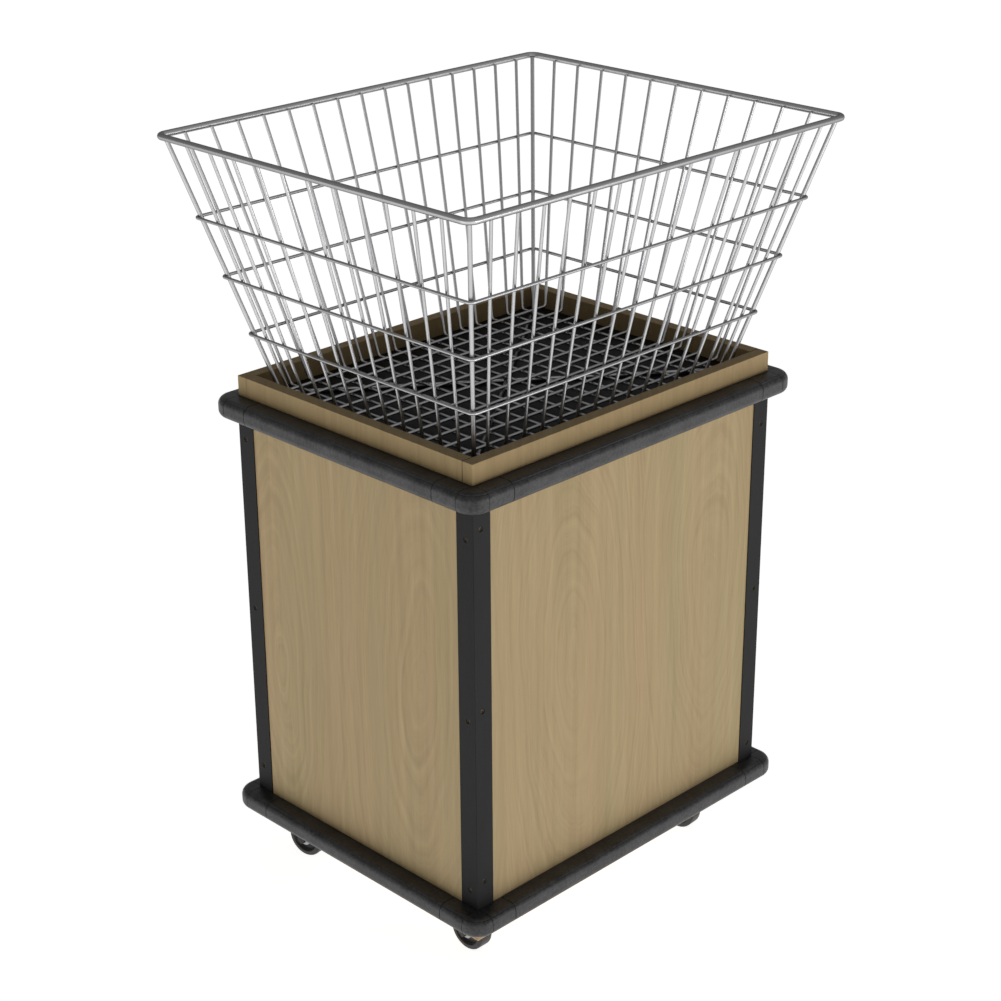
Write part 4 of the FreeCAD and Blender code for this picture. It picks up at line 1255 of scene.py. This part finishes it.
# ---- the casters
@dataclass
class Caster:
    """One swivel caster: dressed metal and a moulded wheel."""

    finishes: FinishBook
    corner: Corner
    wheel: float = 31.75 * MM
    half_tread: float = 12.0 * MM
    shoulder: float = 3.5 * MM
    tread_depth: float = 8.0 * MM
    web: float = 6.0 * MM
    web_ease: float = 1.0 * MM
    hub: float = 9.5 * MM
    hub_half: float = 13.1 * MM
    hub_ease: float = 0.6 * MM
    bore: float = 4.08 * MM
    bore_ease: float = 0.4 * MM
    rim_ease: float = 0.8 * MM
    rim_step: float = 0.2 * MM
    hub_cove: Pair = (0.4 * MM, 1.6 * MM)
    rim_cove: Pair = (1.8 * MM, 3.2 * MM)
    crown_steps: int = 6
    steps: int = 72
    sharp: float = 35.0

    def profile(self) -> list[Pair]:
        """Outline the wheel as (along, radius): one half from bore to crown, and its mirror image.

        Returns:
            The closed outline.
        """
        rim = self.wheel - self.tread_depth
        shoulder = (self.half_tread - self.shoulder, self.wheel - self.shoulder)
        right = [
            (self.hub_half - self.bore_ease, self.bore), (self.hub_half, self.bore + self.bore_ease),
            (self.hub_half, self.hub - self.hub_ease), (self.hub_half - self.hub_ease, self.hub),
            (self.web + self.web_ease, self.hub + self.hub_cove[0]), (self.web, self.hub + self.hub_cove[1]),
            (self.web, rim - self.rim_cove[1]), (self.web + self.web_ease, rim - self.rim_cove[0]),
            (self.half_tread - self.rim_ease, rim - self.rim_step), (self.half_tread, rim + self.rim_ease),
            *arc_points(shoulder, self.shoulder, 0, 90, self.crown_steps),
        ]
        return right + [(-along, radius) for along, radius in reversed(right)]

    def build(self) -> None:
        """Dress the metal parts and turn the wheel about its joint's axis."""
        name = self.corner.value
        joint = next(item for item in frame["joints"] if item["name"] == f"{name}_wheel_roll")
        axis = Vector(joint["axis"])
        place = Matrix.Translation(joint["pos_m"]) @ Matrix.Rotation(math.atan2(axis.y, axis.x), 4, "Z")
        mesh = lathe(self.profile(), self.steps, place)
        wheel = add_piece(f"{name}_caster_wheel", mesh, self.finishes.tread, self.sharp)
        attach(wheel, f"{name}_roller")
        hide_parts(f"{name}_wheel")
        dress((f"{name}_caster_plate", f"{name}_caster_fork"), self.finishes.zinc)
        dress((f"{name}_axle_bolt", f"{name}_axle_nut"), self.finishes.axle)
        LOG.info("%s caster built", name)


# ---- the studio
@dataclass
class Studio:
    """A plain pale floor, soft light and the camera.

    The floor's glow and the sky's mirrored share differ by the kind of ray that meets them.
    """

    eye: Triple = (-2.0976, -2.0960, 1.8829)
    yaw: float = -44.83
    pitch: float = -23.44
    roll: float = -0.36
    focal_px: float = 2163.6
    frame_px: float = 1001.0
    sensor: float = 36.0
    far_clip: float = 100.0
    aim: Triple = (0.0, 0.0, 0.6)
    floor_reach: float = 40.0
    floor_paint: Colour = (0.82, 0.82, 0.82)
    bounced_glow: float = 1.3
    seen_glow: float = 0.88
    sky_levels: tuple[Pair, ...] = ((0.0, 0.40), (0.06, 0.30), (0.18, 0.20), (1.0, 0.20))
    bright_side: Triple = (0.8, -0.6, 0.0)
    dim_share: float = 0.65
    mirrored_share: float = 1.8

    def camera(self) -> None:
        """Set up the camera by its bearing, pitch and roll."""
        yaw, pitch, roll = (math.radians(angle) for angle in (self.yaw, self.pitch, self.roll))
        ahead = math.cos(pitch)
        forward = Vector((-math.sin(yaw) * ahead, math.cos(yaw) * ahead, math.sin(pitch)))
        level = Vector((math.cos(yaw), math.sin(yaw), 0))
        upward = level.cross(forward)
        right = level * math.cos(roll) + upward * math.sin(roll)
        top = -level * math.sin(roll) + upward * math.cos(roll)
        data = bpy.data.cameras.new("camera")
        data.sensor_width = self.sensor
        data.lens = self.focal_px / self.frame_px * self.sensor
        data.clip_end = self.far_clip
        camera = add_object("camera", data)
        basis = Matrix((right, top, -forward)).transposed().to_4x4()
        camera.matrix_world = Matrix.Translation(self.eye) @ basis
        bpy.context.scene.camera = camera

    def floor(self) -> None:
        """Lay a wide pale floor that still takes the shadow."""
        mesh = bpy.data.meshes.new("studio_floor")
        far = self.floor_reach
        mesh.from_pydata([(-far, -far, 0), (far, -far, 0), (far, far, 0), (-far, far, 0)], [], [(0, 1, 2, 3)])
        floor = add_object("studio_floor", mesh)
        material = bpy.data.materials.new("pale_floor")
        material.use_nodes = True
        graph = NodeGraph(material.node_tree)
        path = graph.add("ShaderNodeLightPath").outputs
        seen = graph.calc("MAXIMUM", path["Is Camera Ray"], path["Is Glossy Ray"])
        either = graph.calc("MAXIMUM", seen, path["Is Transmission Ray"])
        strength = graph.spread(either, self.bounced_glow, self.seen_glow)
        paint = graph.out("ShaderNodeBsdfDiffuse", {"Color": self.floor_paint})
        glow = graph.out("ShaderNodeEmission", {"Strength": strength})
        added = graph.out("ShaderNodeAddShader", {0: paint, 1: glow})
        graph.add("ShaderNodeOutputMaterial", {"Surface": added})
        mesh.materials.append(material)

    def sky(self) -> None:
        """Light the room softly: bright about the horizon, dim overhead, brighter on the right."""
        world = bpy.data.worlds.new("soft_room")
        bpy.context.scene.world = world
        world.use_nodes = True
        graph = NodeGraph(world.node_tree)
        bearing = graph.add("ShaderNodeTexCoord").outputs["Generated"]
        stops = [(height, (level, level, level)) for height, level in self.sky_levels]
        light = graph.ramp(graph.axes(bearing)[2], *stops)
        feeds = {0: bearing, 1: self.bright_side}
        side = graph.add("ShaderNodeVectorMath", feeds, operation="DOT_PRODUCT").outputs["Value"]
        feeds = {"Value": side, "From Min": -1.0, "To Min": self.dim_share}
        share = graph.out("ShaderNodeMapRange", feeds)
        path = graph.add("ShaderNodeLightPath").outputs
        mirrored = graph.spread(path["Is Glossy Ray"], 1.0, self.mirrored_share)
        feeds = {"Color": light, "Strength": graph.calc("MULTIPLY", share, mirrored)}
        room = graph.out("ShaderNodeBackground", feeds)
        backdrop = graph.out("ShaderNodeBackground", {"Color": WHITE})
        seen = graph.out("ShaderNodeMixShader", {0: path["Is Camera Ray"], 1: room, 2: backdrop})
        graph.add("ShaderNodeOutputWorld", {"Surface": seen})

    def lamp(self, name: str, spot: Triple, size: Pair, power: float) -> None:
        """Add a soft box that looks at the middle of the bin.

        Args:
            name: Name of the lamp.
            spot: Where it hangs.
            size: Its width and height.
            power: Its power in watts.
        """
        data = bpy.data.lights.new(name, "AREA")
        data.shape = "RECTANGLE"
        data.size, data.size_y = size
        data.energy = power
        look = (Vector(self.aim) - Vector(spot)).to_track_quat("-Z", "Y")
        add_object(name, data).matrix_world = Matrix.Translation(spot) @ look.to_matrix().to_4x4()

    def build(self) -> None:
        """Set up the camera, floor and lights."""
        bpy.context.scene.view_settings.view_transform = "Standard"
        self.camera()
        self.floor()
        self.sky()
        self.lamp("front_box", spot=(0.9, -3.4, 0.3), size=(2.6, 0.5), power=18.0)
        self.lamp("left_box", spot=(-3.6, 0.4, 0.3), size=(2.4, 0.5), power=3.0)
        LOG.info("studio ready")


def main() -> None:
    """Build the bin's assemblies in order."""
    logging.basicConfig(level=logging.INFO, format="%(message)s")
    Studio().build()
    finishes = FinishBook()
    Cabinet(finishes).build()
    for level in ("top", "bottom"):
        BumperBand(finishes, level).build()
    WireBasket(finishes).build()
    for corner in Corner:
        Caster(finishes, corner).build()
    dress(("caster_bolts", "caster_kingpins"), finishes.zinc)


if __name__ == "__main__":
    main()
